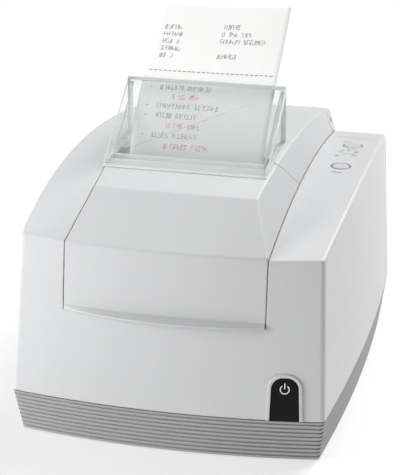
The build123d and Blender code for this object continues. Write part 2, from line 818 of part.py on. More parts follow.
RECEIPT_LINE = ((-24.6, 138.8), (-20.2, 148), (-11, 159), (0, 170), (13.8, 181.8), (33, 196), (60, 217.5))


def make_receipt():
    save(sheet_along(RECEIPT_LINE), "receipt")


# ---------------------------------------------------------------- control panel
SWITCH_TOP = PANEL_Z + BOARD_T + 3.4
BUTTON_TRAVEL = 1.0


def make_panel_button(number, name):
    x, y = BUTTON_XY[number]
    top = pod_z(y) + 0.25
    with BuildPart() as button:
        add(post(x, y, top - 5.2, top, BUTTON_R))
        chamfer(button.faces().sort_by(Axis.Z)[-1].edges(), 0.5)
        add(post(x, y, top - 5.2, top - 3.8, BUTTON_R + 1.1))
        add(post(x, y, SWITCH_TOP + 1.0 + BUTTON_TRAVEL + 0.1, top - 5.2, 2.0))
    save(button.part, name)


def make_status_lights():
    """Four light pipes, each standing on its own lamp."""
    with BuildPart() as status_lights:
        for x, y in LIGHT_XY:
            add(post(x, y, PANEL_Z + BOARD_T, pod_z(y) + 0.15, LIGHT_R))
            add(block(x - 1.2, x + 1.2, y - 1.0, y + 1.0, PANEL_Z + BOARD_T, PANEL_Z + BOARD_T + 1.2))
    save(status_lights.part, "status_lights")


def make_control_board():
    with BuildPart() as control_board:
        add(block(61, 87, 10, 85, PANEL_Z, PANEL_Z + BOARD_T))
        add(block(66, 82, 30, 37, PANEL_Z - 1.4, PANEL_Z))
        add(block(70, 80, 78, 83, PANEL_Z - 4.5, PANEL_Z))
    save(control_board.part, "control_board")


def make_panel_switches():
    with BuildPart() as panel_switches:
        for x, y in BUTTON_XY:
            add(block(x - 3, x + 3, y - 3, y + 3, PANEL_Z + BOARD_T, SWITCH_TOP))
            add(post(x, y, SWITCH_TOP, SWITCH_TOP + 1.0, 1.7))
    save(panel_switches.part, "panel_switches")


# ---------------------------------------------------------------- electronics in the base
BOARD_TOP = BOARD_Z + BOARD_T
PLATE_Y = 113.9
PLATE_T = 1.5
PORT_FACE_Y = PLATE_Y + PLATE_T + 0.4
INLET_X = -36.0
INLET_Z = 18.4
NETWORK_X = -6.0
DRAWER_X = 22.0


def make_main_board():
    with BuildPart() as main_board:
        add(block(-60, 60, -8, 104, BOARD_Z, BOARD_TOP))
        with BuildSketch(Plane.XY.offset(BOARD_Z)):
            with Locations(*BOARD_HOLES):
                Circle(1.6)
        extrude(amount=BOARD_T, mode=Mode.SUBTRACT)
    save(main_board.part, "main_board")


def make_board_chips():
    """Processor, memory, drivers, capacitors and cable sockets soldered on the main board."""
    with BuildPart() as board_chips:
        for x, y, long, wide, high in (
            (0, 40, 20, 20, 1.6),
            (26, 40, 12, 18, 1.2),
            (-28, 40, 9, 14, 1.4),
            (-28, 62, 9, 14, 1.4),
            (0, 4, 44, 6, 7.0),
            (38, 12, 6, 22, 7.0),
            (-44, 20, 12, 12, 9.0),
        ):
            add(block(x - long / 2, x + long / 2, y - wide / 2, y + wide / 2, BOARD_TOP, BOARD_TOP + high))
        for x, y in ((-44, 78), (-34, 78), (46, 72)):
            add(post(x, y, BOARD_TOP, BOARD_TOP + 12.5, 4.0))
    save(board_chips.part, "board_chips")


def make_interface_plate():
    with BuildPart() as interface_plate:
        add(block(PORT_X0, PORT_X1, PLATE_Y, PLATE_Y + PLATE_T, PORT_Z0, BASE_TOP))
        with BuildSketch(Plane.XZ.offset(-PLATE_Y)):
            with Locations((INLET_X, INLET_Z)):
                Circle(6.6)
            with Locations((NETWORK_X, BOARD_TOP + 6.75)):
                Rectangle(16.3, 13.8)
            with Locations((DRAWER_X, BOARD_TOP + 6.0)):
                Rectangle(13.3, 12.3)
        extrude(amount=-PLATE_T, mode=Mode.SUBTRACT)
    save(interface_plate.part, "interface_plate")


def make_power_inlet():
    """Round three-pole socket for the supply plug."""
    front = 102.0
    with BuildPart() as power_inlet:
        add(peg(INLET_X, INLET_Z, front, PORT_FACE_Y, 6.4))
        add(block(INLET_X - 6.4, INLET_X + 6.4, front, PLATE_Y - 0.4, BOARD_TOP, INLET_Z + 6.4))
        with BuildSketch(Plane.XZ.offset(-PORT_FACE_Y)):
            with Locations((INLET_X, INLET_Z)):
                Circle(5.1)
        extrude(amount=9.0, mode=Mode.SUBTRACT)
        for turn in (90, 210, 330):
            x = INLET_X + 2.8 * cos(radians(turn))
            z = INLET_Z + 2.8 * sin(radians(turn))
            add(peg(x, z, PORT_FACE_Y - 9, PORT_FACE_Y - 4.6, 0.6))
    save(power_inlet.part, "power_inlet")


def make_socket(x, wide, high, cavity_wide, cavity_high, contacts, name):
    """Square socket with a latch notch under its roof and a row of spring contacts."""
    front = 98.0
    z_mid = BOARD_TOP + high / 2
    with BuildPart() as socket:
        add(block(x - wide / 2, x + wide / 2, front, PORT_FACE_Y, BOARD_TOP, BOARD_TOP + high))
        with BuildSketch(Plane.XZ.offset(-PORT_FACE_Y)):
            with Locations((x, z_mid)):
                Rectangle(cavity_wide, cavity_high)
            with Locations((x, z_mid + cavity_high / 2)):
                Rectangle(cavity_wide * 0.45, 2.4)
        extrude(amount=13.0, mode=Mode.SUBTRACT)
        pitch = 1.02
        low = z_mid - cavity_high / 2
        for number in range(contacts):
            contact_x = x + (number - (contacts - 1) / 2) * pitch
            add(block(contact_x - 0.22, contact_x + 0.22, PORT_FACE_Y - 11, PORT_FACE_Y - 3, low, low + 0.9))
    save(socket.part, name)


# ---------------------------------------------------------------- chassis of the print mechanism
PLATE_LEFT = (-56.0, -54.8)
PLATE_RIGHT = (82.0, 83.2)
CHASSIS_TOP = CHASSIS_Z + CHASSIS_T
ROD_Y = -48.0
ROD_Z = 50.0
ROD_R = 4.0
RAIL_Y0 = -89.4
RAIL_Y1 = -87.8
RAIL_Z0 = 92.0
RAIL_Z1 = 100.0
BELT_Z = 56.0
PULLEY_R = 6.0
DRIVE_X = -47.0
IDLER_X = 75.0
MOTOR_SHAFT_R = 1.2
AXLE_R = 1.6
FEED_Y = -23.4
FEED_Z = 116.0
FEED_SHAFT_R = 3.0
FEED_R = 6.5
PINCH_Y = -34.7
PINCH_R = 4.0
PINCH_SHAFT_R = 1.5
FEED_TEETH = 30
IDLER_TEETH = 24
PINION_TEETH = 12
MODULE = 1.0
IDLER_GEAR_Z = FEED_Z - MODULE * (FEED_TEETH + IDLER_TEETH) / 2
PINION_Z = IDLER_GEAR_Z - MODULE * (IDLER_TEETH + PINION_TEETH) / 2
STUD_R = 2.0
GEAR_X = (-62.0, -57.5)
PLATEN_Y = -29.9
PLATEN_T = 2.9


def make_chassis():
    plate = block(PLATE_LEFT[0], PLATE_RIGHT[1], FLANGE_Y, -12, CHASSIS_Z, CHASSIS_TOP)
    plate += block(-71, 71, -12.1, 100, CHASSIS_Z, CHASSIS_TOP)
    plate += block(PLATE_LEFT[0], PLATE_RIGHT[1], FLANGE_Y, FLANGE_Y + CHASSIS_T, CHASSIS_Z, BELT_Z + 11)
    side = (
        (-84.6, CHASSIS_Z),
        (-14, CHASSIS_Z),
        (-14, 122),
        (-42, 122),
        (-46, 108),
        (-91, 108),
        (-91, 70),
        (-84.6, 64),
    )
    plate += yz_plate(side, *PLATE_LEFT)
    plate += yz_plate(side, *PLATE_RIGHT)
    plate -= block(72, 90, -96, -84.7, CHASSIS_Z - 1, 47)
    plate -= rod(-70, 90, ROD_Y, ROD_Z, ROD_R)
    plate -= rod(-70, 90, FEED_Y, FEED_Z, FEED_SHAFT_R + RUNNING)
    plate -= rod(-70, 90, PINCH_Y, FEED_Z, PINCH_SHAFT_R)
    plate -= rod(-70, 0, FEED_Y, IDLER_GEAR_Z, STUD_R)
    plate -= peg(DRIVE_X, BELT_Z, -100, -90, 1.8)
    plate -= peg(IDLER_X, BELT_Z, -100, -90, AXLE_R)
    for x, y in COLUMN_XY:
        plate -= post(x, y, CHASSIS_Z - 1, CHASSIS_TOP + 1, SCREW_SHANK_R)
    # Windows that lighten the side plates.
    plate -= block(-60, -50, -78, -58, 60, 86)
    plate -= block(80, 86, -78, -58, 60, 86)
    # Vents and cable openings behind the mechanism.
    for y in (8, 88):
        plate -= block(-30, 30, y, y + 7, CHASSIS_Z - 1, CHASSIS_TOP + 1)
    save(plate, "chassis")


def make_chassis_screws():
    with BuildPart() as chassis_screws:
        for x, y in COLUMN_XY:
            add(post(x, y, CHASSIS_TOP, CHASSIS_TOP + 1.8, 2.8))
            add(post(x, y, CHASSIS_TOP - 8, CHASSIS_TOP, SCREW_SHANK_R))
        for x, y in COLUMN_XY:
            slot_z = CHASSIS_TOP + 0.9
            for half_x, half_y in ((1.7, 0.4), (0.4, 1.7)):
                slot = block(x - half_x, x + half_x, y - half_y, y + half_y, slot_z, slot_z + 2)
                add(slot, mode=Mode.SUBTRACT)
    save(chassis_screws.part, "chassis_screws")


def make_carriage_rod():
    with BuildPart() as carriage_rod:
        add(rod(PLATE_LEFT[0] - 1, PLATE_RIGHT[1] + 1, ROD_Y, ROD_Z, ROD_R))
        chamfer(carriage_rod.faces().sort_by(Axis.X)[0].edges(), 0.5)
        chamfer(carriage_rod.faces().sort_by(Axis.X)[-1].edges(), 0.5)
    save(carriage_rod.part, "carriage_rod")


def make_guide_rail():
    save(block(PLATE_LEFT[1], PLATE_RIGHT[0], RAIL_Y0, RAIL_Y1, RAIL_Z0, RAIL_Z1), "guide_rail")


# ---------------------------------------------------------------- print carriage
PARK_X = 62.0  # the carriage rests at the right, over the service station
CARRIAGE_HALF = 17.0
CARRIAGE_FRONT = -84.0
FLOOR_Z = 57.0
LATCH_Y = -75.0
LATCH_Z = 108.2
LATCH_PIN_R = 1.5


def make_carriage():
    x0 = PARK_X - CARRIAGE_HALF
    x1 = PARK_X + CARRIAGE_HALF
    shape = block(x0, x1, CARRIAGE_FRONT, -40, 42, FLOOR_Z)
    rear = ((-36.4, 50), (-36.4, 84), (-60, 104), (-70, 111))
    side = ((CARRIAGE_FRONT, 50), *rear, (-80, 111), (CARRIAGE_FRONT, 104))
    shape += yz_plate(side, x0, x0 + 2)
    shape += yz_plate(side, x1 - 2, x1)
    shape += block(x0, x1, CARRIAGE_FRONT, CARRIAGE_FRONT + 2, FLOOR_Z, 104)
    # Hook over the guide rail.
    shape += block(PARK_X - 9, PARK_X + 9, RAIL_Y0 - 2, CARRIAGE_FRONT, RAIL_Z1 + 0.3, RAIL_Z1 + 2.3)
    shape += block(PARK_X - 9, PARK_X + 9, RAIL_Y0 - 2, RAIL_Y0 - 0.3, RAIL_Z1 - 4, RAIL_Z1 + 2.3)
    shape += block(PARK_X - 9, PARK_X + 9, RAIL_Y1 + 0.3, CARRIAGE_FRONT, RAIL_Z1 - 4, RAIL_Z1 + 2.3)
    # Fork round the upper run of the belt.
    belt_low = BELT_Z + PULLEY_R + BELT_GAP
    shape += block(PARK_X - 5, PARK_X + 5, -91.4, CARRIAGE_FRONT, belt_low - 2.0, belt_low - 0.3)
    over_belt = belt_low + BELT_T
    shape += block(PARK_X - 5, PARK_X + 5, -91.4, CARRIAGE_FRONT, over_belt + 0.3, over_belt + 2.0)
    shape -= rod(x0 - 1, x1 + 1, ROD_Y, ROD_Z, ROD_R + RUNNING)
    shape -= block(x0 + 4, x1 - 4, CARRIAGE_FRONT + 3, -56, 41, 53)
    shape -= rod(x0 - 1, x1 + 1, LATCH_Y, LATCH_Z, LATCH_PIN_R + RUNNING)
    save(shape, "carriage")


def make_ink_cartridge():
    x0 = PARK_X - 14
    x1 = PARK_X + 14
    body = block(x0, x1, -80.6, -38, FLOOR_Z, 96)
    body += block(x0, x1, -80.6, -58, 96, 104.6)
    body += block(PARK_X - 9, PARK_X + 9, -38, -33.8, 60, 72)
    with BuildPart() as ink_cartridge:
        add(body)
        fillet(ink_cartridge.edges().filter_by(Axis.Y), 1.2)
        # Label recess.
        add(block(x0 + 3, x1 - 3, -80.7, -80.3, 62, 100), mode=Mode.SUBTRACT)
    save(ink_cartridge.part, "ink_cartridge")


def make_cartridge_latch():
    x0 = PARK_X - 12
    x1 = PARK_X + 12
    lever = rod(PARK_X - CARRIAGE_HALF, PARK_X + CARRIAGE_HALF, LATCH_Y, LATCH_Z, LATCH_PIN_R)
    lever += rod(x0, x1, LATCH_Y, LATCH_Z, 2.8)
    lever += block(x0, x1, LATCH_Y, -50, LATCH_Z - 2, LATCH_Z)
    lever += block(x0, x1, -52, -50, LATCH_Z - 2, LATCH_Z + 2.2)
    save(lever, "cartridge_latch")


# ---------------------------------------------------------------- carriage drive
BELT_GAP = 0.3
BELT_T = 1.0
PULLEY_Y0 = -91.4
PULLEY_Y1 = -86.0


def make_carriage_belt():
    reach = IDLER_X - DRIVE_X
    middle = (IDLER_X + DRIVE_X) / 2
    inner = PULLEY_R + BELT_GAP
    with BuildPart() as carriage_belt:
        with BuildSketch(Plane.XZ.offset(-PULLEY_Y0 - 0.4)):
            with Locations((middle, BELT_Z)):
                SlotCenterToCenter(reach, 2 * (inner + BELT_T))
                SlotCenterToCenter(reach, 2 * inner, mode=Mode.SUBTRACT)
        extrude(amount=-(PULLEY_Y1 - PULLEY_Y0 - 0.8))
    save(carriage_belt.part, "carriage_belt")


def make_pulley(x, bore, name):
    with BuildPart() as pulley:
        with BuildSketch(Plane.XZ.offset(-PULLEY_Y0)):
            with Locations((x, BELT_Z)):
                Circle(PULLEY_R)
                with PolarLocations(PULLEY_R, 20):
                    Rectangle(0.9, 0.9, mode=Mode.SUBTRACT)
                Circle(bore, mode=Mode.SUBTRACT)
        extrude(amount=-(PULLEY_Y1 - PULLEY_Y0))
    save(pulley.part, name)


def make_idler_axle():
    with BuildPart() as idler_axle:
        add(peg(IDLER_X, BELT_Z, FLANGE_Y, PULLEY_Y1 + 0.2, AXLE_R))
        add(peg(IDLER_X, BELT_Z, PULLEY_Y1 + 0.2, PULLEY_Y1 + 0.9, 2.6))
    save(idler_axle.part, "idler_axle")


def make_carriage_motor():
    with BuildPart() as carriage_motor:
        add(peg(DRIVE_X, BELT_Z, -106.5, FLANGE_Y, 9.6))
        chamfer(carriage_motor.faces().sort_by(Axis.Y)[0].edges(), 0.8)
        add(peg(DRIVE_X, BELT_Z, -107.6, -106.5, 3.0))
        add(peg(DRIVE_X, BELT_Z, FLANGE_Y, PULLEY_Y1 + 0.6, MOTOR_SHAFT_R))
    save(carriage_motor.part, "carriage_motor")


# ---------------------------------------------------------------- paper feed
def make_platen():
    with BuildPart() as platen:
        add(block(PLATE_LEFT[1], PLATE_RIGHT[0], PLATEN_Y, PLATEN_Y + PLATEN_T, 56, 106))
        with BuildSketch(Plane.XZ.offset(-PLATEN_Y)):
            with GridLocations(16, 36, 5, 2):
                with Locations((PAPER_X, 81)):
                    Rectangle(9, 5)
        extrude(amount=-0.6, mode=Mode.SUBTRACT)
    save(platen.part, "platen")


GUIDE_TURN_Y = -16.3
GUIDE_TURN_Z = 50.9
WEB_TURN_R = GUIDE_TURN_Y - WEB_Y


def make_paper_guide():
    """Curved chute that turns the paper from the roll up into the print gap."""
    inner = WEB_TURN_R + 1.0
    outer = WEB_TURN_R + 2.8
    with BuildPart() as paper_guide:
        with BuildSketch(Plane.YZ.offset(-46)):
            with BuildLine():
                CenterArc((GUIDE_TURN_Y, GUIDE_TURN_Z), inner, 180, 90)
                CenterArc((GUIDE_TURN_Y, GUIDE_TURN_Z), outer, 180, 90)
                Line((GUIDE_TURN_Y - outer, GUIDE_TURN_Z), (GUIDE_TURN_Y - inner, GUIDE_TURN_Z))
                Line((GUIDE_TURN_Y, GUIDE_TURN_Z - outer), (GUIDE_TURN_Y, GUIDE_TURN_Z - inner))
            make_face()
        extrude(amount=85)
        low = GUIDE_TURN_Z - outer
        add(block(-46, 39, GUIDE_TURN_Y, 39.5, low, low + 1.8))
        for x in (-46.0, -4.5, 36.0):
            add(block(x, x + 3, -22, 36, CHASSIS_TOP, low + 0.5))
    save(paper_guide.part, "paper_guide")


def make_paper_web():
    """Paper on its way from the roll to the exit."""
    with BuildPart() as paper_web:
        with BuildSketch(Plane.YZ.offset(PAPER_X - PAPER_W / 2)):
            with BuildLine() as path:
                floor_z = GUIDE_TURN_Z - WEB_TURN_R
                Line((ROLL_Y, floor_z), (GUIDE_TURN_Y, floor_z))
                CenterArc((GUIDE_TURN_Y, GUIDE_TURN_Z), WEB_TURN_R, 180, 90)
                Line((WEB_Y, GUIDE_TURN_Z), (WEB_Y, 119))
                Spline((WEB_Y, 119), (-29.2, 127), (-25.6, 137.4), tangents=((0, 1), (0.42, 1)))
            trace(path.line, PAPER_T)
        extrude(amount=PAPER_W)
    save(paper_web.part, "paper_web")


def make_feed_shaft():
    save(rod(GEAR_X[0] - 1.2, PLATE_RIGHT[1] + 1.4, FEED_Y, FEED_Z, FEED_SHAFT_R), "feed_shaft")


def rollers(y, outer, inner, name):
    """Row of four sleeves on a shaft along X."""
    long = 14.0
    with BuildPart() as sleeves:
        for number in range(4):
            x0 = PAPER_X - 36 + number * (72 - long) / 3
            add(rod(x0, x0 + long, y, FEED_Z, outer) - rod(x0, x0 + long, y, FEED_Z, inner))
    save(sleeves.part, name)


def make_pinch_shaft():
    save(rod(PLATE_LEFT[0], PLATE_RIGHT[1], PINCH_Y, FEED_Z, PINCH_SHAFT_R), "pinch_shaft")


def gear(teeth, z, bore, phase, hub=0.0):
    """Spur gear about an axis along X; phase is the direction of one tooth in degrees."""
    radius = MODULE * teeth / 2
    pitch_turn = 2 * pi / teeth
    widths = ((-1.2, 0.56), (0.0, 0.41), (0.8, 0.20))
    outline = []
    for number in range(teeth):
        heading = radians(phase) + number * pitch_turn
        for side in (-1, 1):
            steps = widths if side == -1 else widths[::-1]
            for height, share in steps:
                turn = heading + side * share * pitch_turn / 2
                reach = radius + height * MODULE
                outline.append((FEED_Y + reach * cos(turn), z + reach * sin(turn)))
    with BuildPart() as wheel:
        with BuildSketch(Plane.YZ.offset(GEAR_X[0])):
            Polygon(*outline, align=None)
            with Locations((FEED_Y, z)):
                Circle(bore, mode=Mode.SUBTRACT)
        extrude(amount=GEAR_X[1] - GEAR_X[0])
        if hub:
            for x in GEAR_X:
                inward = 1.2 if x == GEAR_X[0] else -1.2
                with BuildSketch(Plane.YZ.offset(x)):
                    with Locations((FEED_Y, z)):
                        Circle(radius - 3.2)
                        Circle(hub, mode=Mode.SUBTRACT)
                extrude(amount=inward, mode=Mode.SUBTRACT)
    return wheel.part


def make_gears():
    save(gear(FEED_TEETH, FEED_Z, FEED_SHAFT_R, -90, 6.0), "feed_gear")
    half_pitch = 180 / IDLER_TEETH
    save(gear(IDLER_TEETH, IDLER_GEAR_Z, STUD_R + RUNNING, 90 + half_pitch, 4.6), "idler_gear")
    pinion = gear(PINION_TEETH, PINION_Z, 0.4, 90)
    pinion += rod(MOTOR_X - 4, GEAR_X[0], FEED_Y, PINION_Z, MOTOR_SHAFT_R)
    pinion += rod(GEAR_X[0], GEAR_X[1] + 0.6, FEED_Y, PINION_Z, MOTOR_SHAFT_R)
    save(pinion, "motor_pinion")


def make_idler_stud():
    with BuildPart() as idler_stud:
        add(rod(GEAR_X[0] - 0.4, PLATE_LEFT[1], FEED_Y, IDLER_GEAR_Z, STUD_R))
        add(rod(GEAR_X[0] - 1.2, GEAR_X[0] - 0.4, FEED_Y, IDLER_GEAR_Z, 3.2))
    save(idler_stud.part, "idler_stud")


MOTOR_X = -65.2  # mounting face of the feed motor
MOTOR_R = 14.0


def make_feed_motor():
    with BuildPart() as feed_motor:
        add(rod(MOTOR_X - 18.5, MOTOR_X, FEED_Y, PINION_Z, MOTOR_R))
        chamfer(feed_motor.faces().sort_by(Axis.X)[0].edges(), 0.8)
        add(block(MOTOR_X - 14, MOTOR_X - 5, FEED_Y + 10, FEED_Y + 18, PINION_Z - 5, PINION_Z + 5))
        add(rod(MOTOR_X - 4.2, MOTOR_X, FEED_Y, PINION_Z, MOTOR_SHAFT_R + RUNNING), mode=Mode.SUBTRACT)
    save(feed_motor.part, "feed_motor")


def make_motor_bracket():
    bracket = block(MOTOR_X, MOTOR_X + 1.2, -44, -3, 54, 88)
    bracket += block(MOTOR_X, PLATE_LEFT[0], -44, -3, 54, 55.2)
    bracket += block(PLATE_LEFT[0] - 1.2, PLATE_LEFT[0], -44, -14, 42, 55.2)
    bracket -= rod(-70, -60, FEED_Y, PINION_Z, 3.0)
    save(bracket, "motor_bracket")


def make_service_cap():
    """Rubber cap that seals the print head while it is parked."""
    cap = block(PARK_X - 8, PARK_X + 8, -33.2, PLATEN_Y, 58, 74)
    cap -= block(PARK_X - 6, PARK_X + 6, -33.4, -31.6, 60.5, 71.5)
    save(cap, "service_cap")


def make_wiper_blade():
    blade = block(46.6, 47.6, -33.5, PLATEN_Y, 59, 73)
    blade += block(45.6, 48.6, -31.4, PLATEN_Y, 58, 74)
    save(blade, "wiper_blade")


# ---------------------------------------------------------------- paper supply
ROLL_Y = 55.0
ROLL_Z = 72.0
ROLL_R = 34.5
CORE_R = 8.0
SPINDLE_R = 6.0
TROUGH_R = 38.0
TROUGH_T = 2.0
CHEEK_LEFT = (-46.5, -44.5)
CHEEK_RIGHT = (37.5, 39.5)


def make_paper_roll():
    x0 = PAPER_X - PAPER_W / 2
    roll = rod(x0, x0 + PAPER_W, ROLL_Y, ROLL_Z, ROLL_R) - rod(x0, x0 + PAPER_W, ROLL_Y, ROLL_Z, CORE_R)
    save(roll, "paper_roll")
    core = rod(x0, x0 + PAPER_W, ROLL_Y, ROLL_Z, CORE_R)
    core -= rod(x0, x0 + PAPER_W, ROLL_Y, ROLL_Z, SPINDLE_R + RUNNING)
    save(core, "roll_core")
    save(rod(CHEEK_LEFT[0] - 2, CHEEK_RIGHT[1] + 2, ROLL_Y, ROLL_Z, SPINDLE_R), "roll_spindle")


def make_paper_bucket():
    outer = TROUGH_R + TROUGH_T
    trough = rod(CHEEK_LEFT[0], CHEEK_RIGHT[1], ROLL_Y, ROLL_Z, outer)
    trough -= rod(CHEEK_LEFT[1], CHEEK_RIGHT[0], ROLL_Y, ROLL_Z, TROUGH_R)
    trough -= block(-60, 60, ROLL_Y - 60, ROLL_Y + 60, ROLL_Z + 12, 130)
    # Slot in the front through which the paper leaves.
    trough -= block(CHEEK_LEFT[1], CHEEK_RIGHT[0], 10, 44, 35.4, 39.2)
    for x0, x1 in (CHEEK_LEFT, CHEEK_RIGHT):
        trough += block(x0, x1, ROLL_Y - 30, ROLL_Y + 30, CHASSIS_TOP, ROLL_Z)
    trough -= rod(-60, 60, ROLL_Y, ROLL_Z, SPINDLE_R)
    trough -= block(-60, 60, ROLL_Y - SPINDLE_R, ROLL_Y + SPINDLE_R, ROLL_Z, 130)
    # Front edge of the floor joins the cheeks clear of the paper guide.
    trough -= block(-60, 60, 10, 40.2, 30, 36.2)
    save(trough, "paper_bucket")


# ---------------------------------------------------------------- build everything
make_base_tray()
make_feet()
make_case_screws()
make_main_case()
make_power_bezel()
make_power_button()
make_power_switch()
make_front_cover()
make_rear_cover()
make_tear_bar()
make_hinge_pin()
make_splash_guard()
make_receipt()
make_panel_button(0, "reset_button")
make_panel_button(1, "feed_button")
make_status_lights()
make_control_board()
make_panel_switches()
make_main_board()
make_board_chips()
make_interface_plate()
make_power_inlet()
make_socket(NETWORK_X, 16.0, 13.5, 11.7, 8.4, 8, "network_port")
make_socket(DRAWER_X, 13.0, 12.0, 9.8, 7.6, 6, "cash_drawer_port")
make_chassis()
make_chassis_screws()
make_carriage_rod()
make_guide_rail()
make_carriage()
make_ink_cartridge()
make_cartridge_latch()
make_carriage_belt()
make_pulley(DRIVE_X, MOTOR_SHAFT_R + RUNNING, "drive_pulley")
make_pulley(IDLER_X, AXLE_R + RUNNING, "idler_pulley")
make_idler_axle()
make_carriage_motor()
make_platen()
make_paper_guide()
make_paper_web()
make_feed_shaft()
rollers(FEED_Y, FEED_R, FEED_SHAFT_R, "feed_rollers")
make_pinch_shaft()
rollers(PINCH_Y, PINCH_R, PINCH_SHAFT_R + RUNNING, "pinch_rollers")
make_gears()
make_idler_stud()
make_feed_motor()
make_motor_bracket()
make_service_cap()
make_wiper_blade()
make_paper_roll()
make_paper_bucket()
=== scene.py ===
import json
import math
import random

import bmesh
import bpy
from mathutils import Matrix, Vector
from mathutils.bvhtree import BVHTree


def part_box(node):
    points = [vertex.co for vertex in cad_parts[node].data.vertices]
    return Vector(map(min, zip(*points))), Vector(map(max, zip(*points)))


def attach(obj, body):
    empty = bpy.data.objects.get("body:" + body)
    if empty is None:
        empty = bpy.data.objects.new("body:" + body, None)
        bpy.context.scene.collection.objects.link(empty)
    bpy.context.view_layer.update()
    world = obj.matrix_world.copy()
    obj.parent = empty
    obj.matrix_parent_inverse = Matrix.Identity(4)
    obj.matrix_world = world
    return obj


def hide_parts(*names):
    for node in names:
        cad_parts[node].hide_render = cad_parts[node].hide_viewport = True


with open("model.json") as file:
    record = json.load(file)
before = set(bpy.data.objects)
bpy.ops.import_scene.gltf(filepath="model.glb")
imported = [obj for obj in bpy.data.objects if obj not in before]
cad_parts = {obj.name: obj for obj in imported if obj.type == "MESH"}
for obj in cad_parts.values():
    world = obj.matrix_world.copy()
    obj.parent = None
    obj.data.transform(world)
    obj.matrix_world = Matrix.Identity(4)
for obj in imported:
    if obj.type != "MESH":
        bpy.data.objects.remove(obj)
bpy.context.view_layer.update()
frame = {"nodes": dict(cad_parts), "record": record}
nodes = frame["nodes"]


# ---------------------------------------------------------------- material building blocks
class Nodes:
    """Short ways to add and join the nodes of one material."""

    def __init__(self, name):
        self.material = bpy.data.materials.new(name)
        self.material.use_nodes = True
        self.tree = self.material.node_tree
        self.shader = self.tree.nodes["Principled BSDF"]
        self.output = self.tree.nodes["Material Output"]
        self.place = self.tree.nodes.new("ShaderNodeTexCoord").outputs["Object"]

    def add(self, kind, **settings):
        node = self.tree.nodes.new(kind)
        for key, value in settings.items():
            setattr(node, key, value)
        return node

    def join(self, source, target):
        self.tree.links.new(source, target)

    def stretched(self, scale):
        mapping = self.add("ShaderNodeMapping")
        mapping.inputs["Scale"].default_value = scale
        self.join(self.place, mapping.inputs["Vector"])
        return mapping.outputs["Vector"]

    def noise(self, scale, detail=4.0, rough=0.55, vector=None):
        node = self.add("ShaderNodeTexNoise")
        node.inputs["Scale"].default_value = scale
        node.inputs["Detail"].default_value = detail
        node.inputs["Roughness"].default_value = rough
        self.join(vector or self.place, node.inputs["Vector"])
        return node.outputs["Fac"]

    def cells(self, scale, feature="F1", vector=None):
        node = self.add("ShaderNodeTexVoronoi", feature=feature)
        node.inputs["Scale"].default_value = scale
        self.join(vector or self.place, node.inputs["Vector"])
        return node.outputs["Distance"]

    def ramp(self, value, low, high, low_at=0.3, high_at=0.7):
        node = self.add("ShaderNodeMapRange")
        node.inputs["From Min"].default_value = low_at
        node.inputs["From Max"].default_value = high_at
        node.inputs["To Min"].default_value = low
        node.inputs["To Max"].default_value = high
        self.join(value, node.inputs["Value"])
        return node.outputs["Result"]

    def math(self, operation, a, b):
        node = self.add("ShaderNodeMath", operation=operation)
        for socket, value in zip(node.inputs, (a, b)):
            if isinstance(value, float):
                socket.default_value = value
            else:
                self.join(value, socket)
        return node.outputs["Value"]

    def mix(self, fac, a, b, blend="MIX"):
        node = self.add("ShaderNodeMix", data_type="RGBA", blend_type=blend)
        for socket, value in zip((node.inputs[0], node.inputs[6], node.inputs[7]), (fac, a, b)):
            if isinstance(value, float):
                socket.default_value = value
            elif isinstance(value, tuple):
                socket.default_value = (*value, 1.0)
            else:
                self.join(value, socket)
        return node.outputs[2]

    def worn_edges(self, low=0.505, high=0.56):
        """1 along convex edges, broken up so that the wear isn't even."""
        point = self.add("ShaderNodeNewGeometry").outputs["Pointiness"]
        edge = self.ramp(point, 0.0, 1.0, low, high)
        return self.math("MULTIPLY", edge, self.ramp(self.noise(220.0), 0.2, 1.0, 0.35, 0.65))

    def bump(self, height, strength, distance, normal=None):
        node = self.add("ShaderNodeBump")
        node.inputs["Strength"].default_value = strength
        node.inputs["Distance"].default_value = distance
        self.join(height, node.inputs["Height"])
        if normal is not None:
            self.join(normal, node.inputs["Normal"])
        return node.outputs["Normal"]

    def rounded(self, radius):
        node = self.add("ShaderNodeBevel", samples=4)
        node.inputs["Radius"].default_value = radius
        return node.outputs["Normal"]

    def set(self, **values):
        for key, value in values.items():
            socket = self.shader.inputs[key.replace("_", " ")]
            if isinstance(value, (float, int)):
                socket.default_value = value
            elif isinstance(value, tuple):
                socket.default_value = (*value, 1.0)
            else:
                self.join(value, socket)
        return self


def scaled(color, factor):
    return tuple(min(channel * factor, 1.0) for channel in color)


def plastic(name, color, roughness=0.45, grain=2600.0, depth=0.00003, strength=0.22, wear=0.12, radius=0.0):
    """Moulded plastic: spark-eroded grain, faint flow marks, dust-dulled patches and rubbed edges."""
    n = Nodes(name)
    clouds = n.noise(16.0, 3.0)
    shade = n.mix(n.ramp(clouds, 0.0, 1.0), scaled(color, 0.988), scaled(color, 1.010))
    fine = n.noise(grain, 2.0, 0.6)
    shade = n.mix(n.ramp(fine, 0.0, 0.05, 0.35, 0.65), shade, scaled(color, 0.80))
    specks = n.cells(420.0)
    shade = n.mix(n.ramp(specks, 0.03, 0.0, 0.0, 0.08), shade, scaled(color, 0.62))
    shade = n.mix(n.math("MULTIPLY", n.worn_edges(), wear), shade, scaled(color, 1.12))
    drift = n.ramp(clouds, -0.02, 0.02)
    rough = n.math("ADD", drift, n.ramp(n.noise(160.0), roughness - 0.02, roughness + 0.03))
    base = n.rounded(radius) if radius else None
    normal = n.bump(fine, strength, depth, base)
    n.set(Base_Color=shade, Roughness=rough, Normal=normal)
    n.shader.inputs["IOR"].default_value = 1.5
    n.shader.inputs["Specular IOR Level"].default_value = 0.4
    return n.material


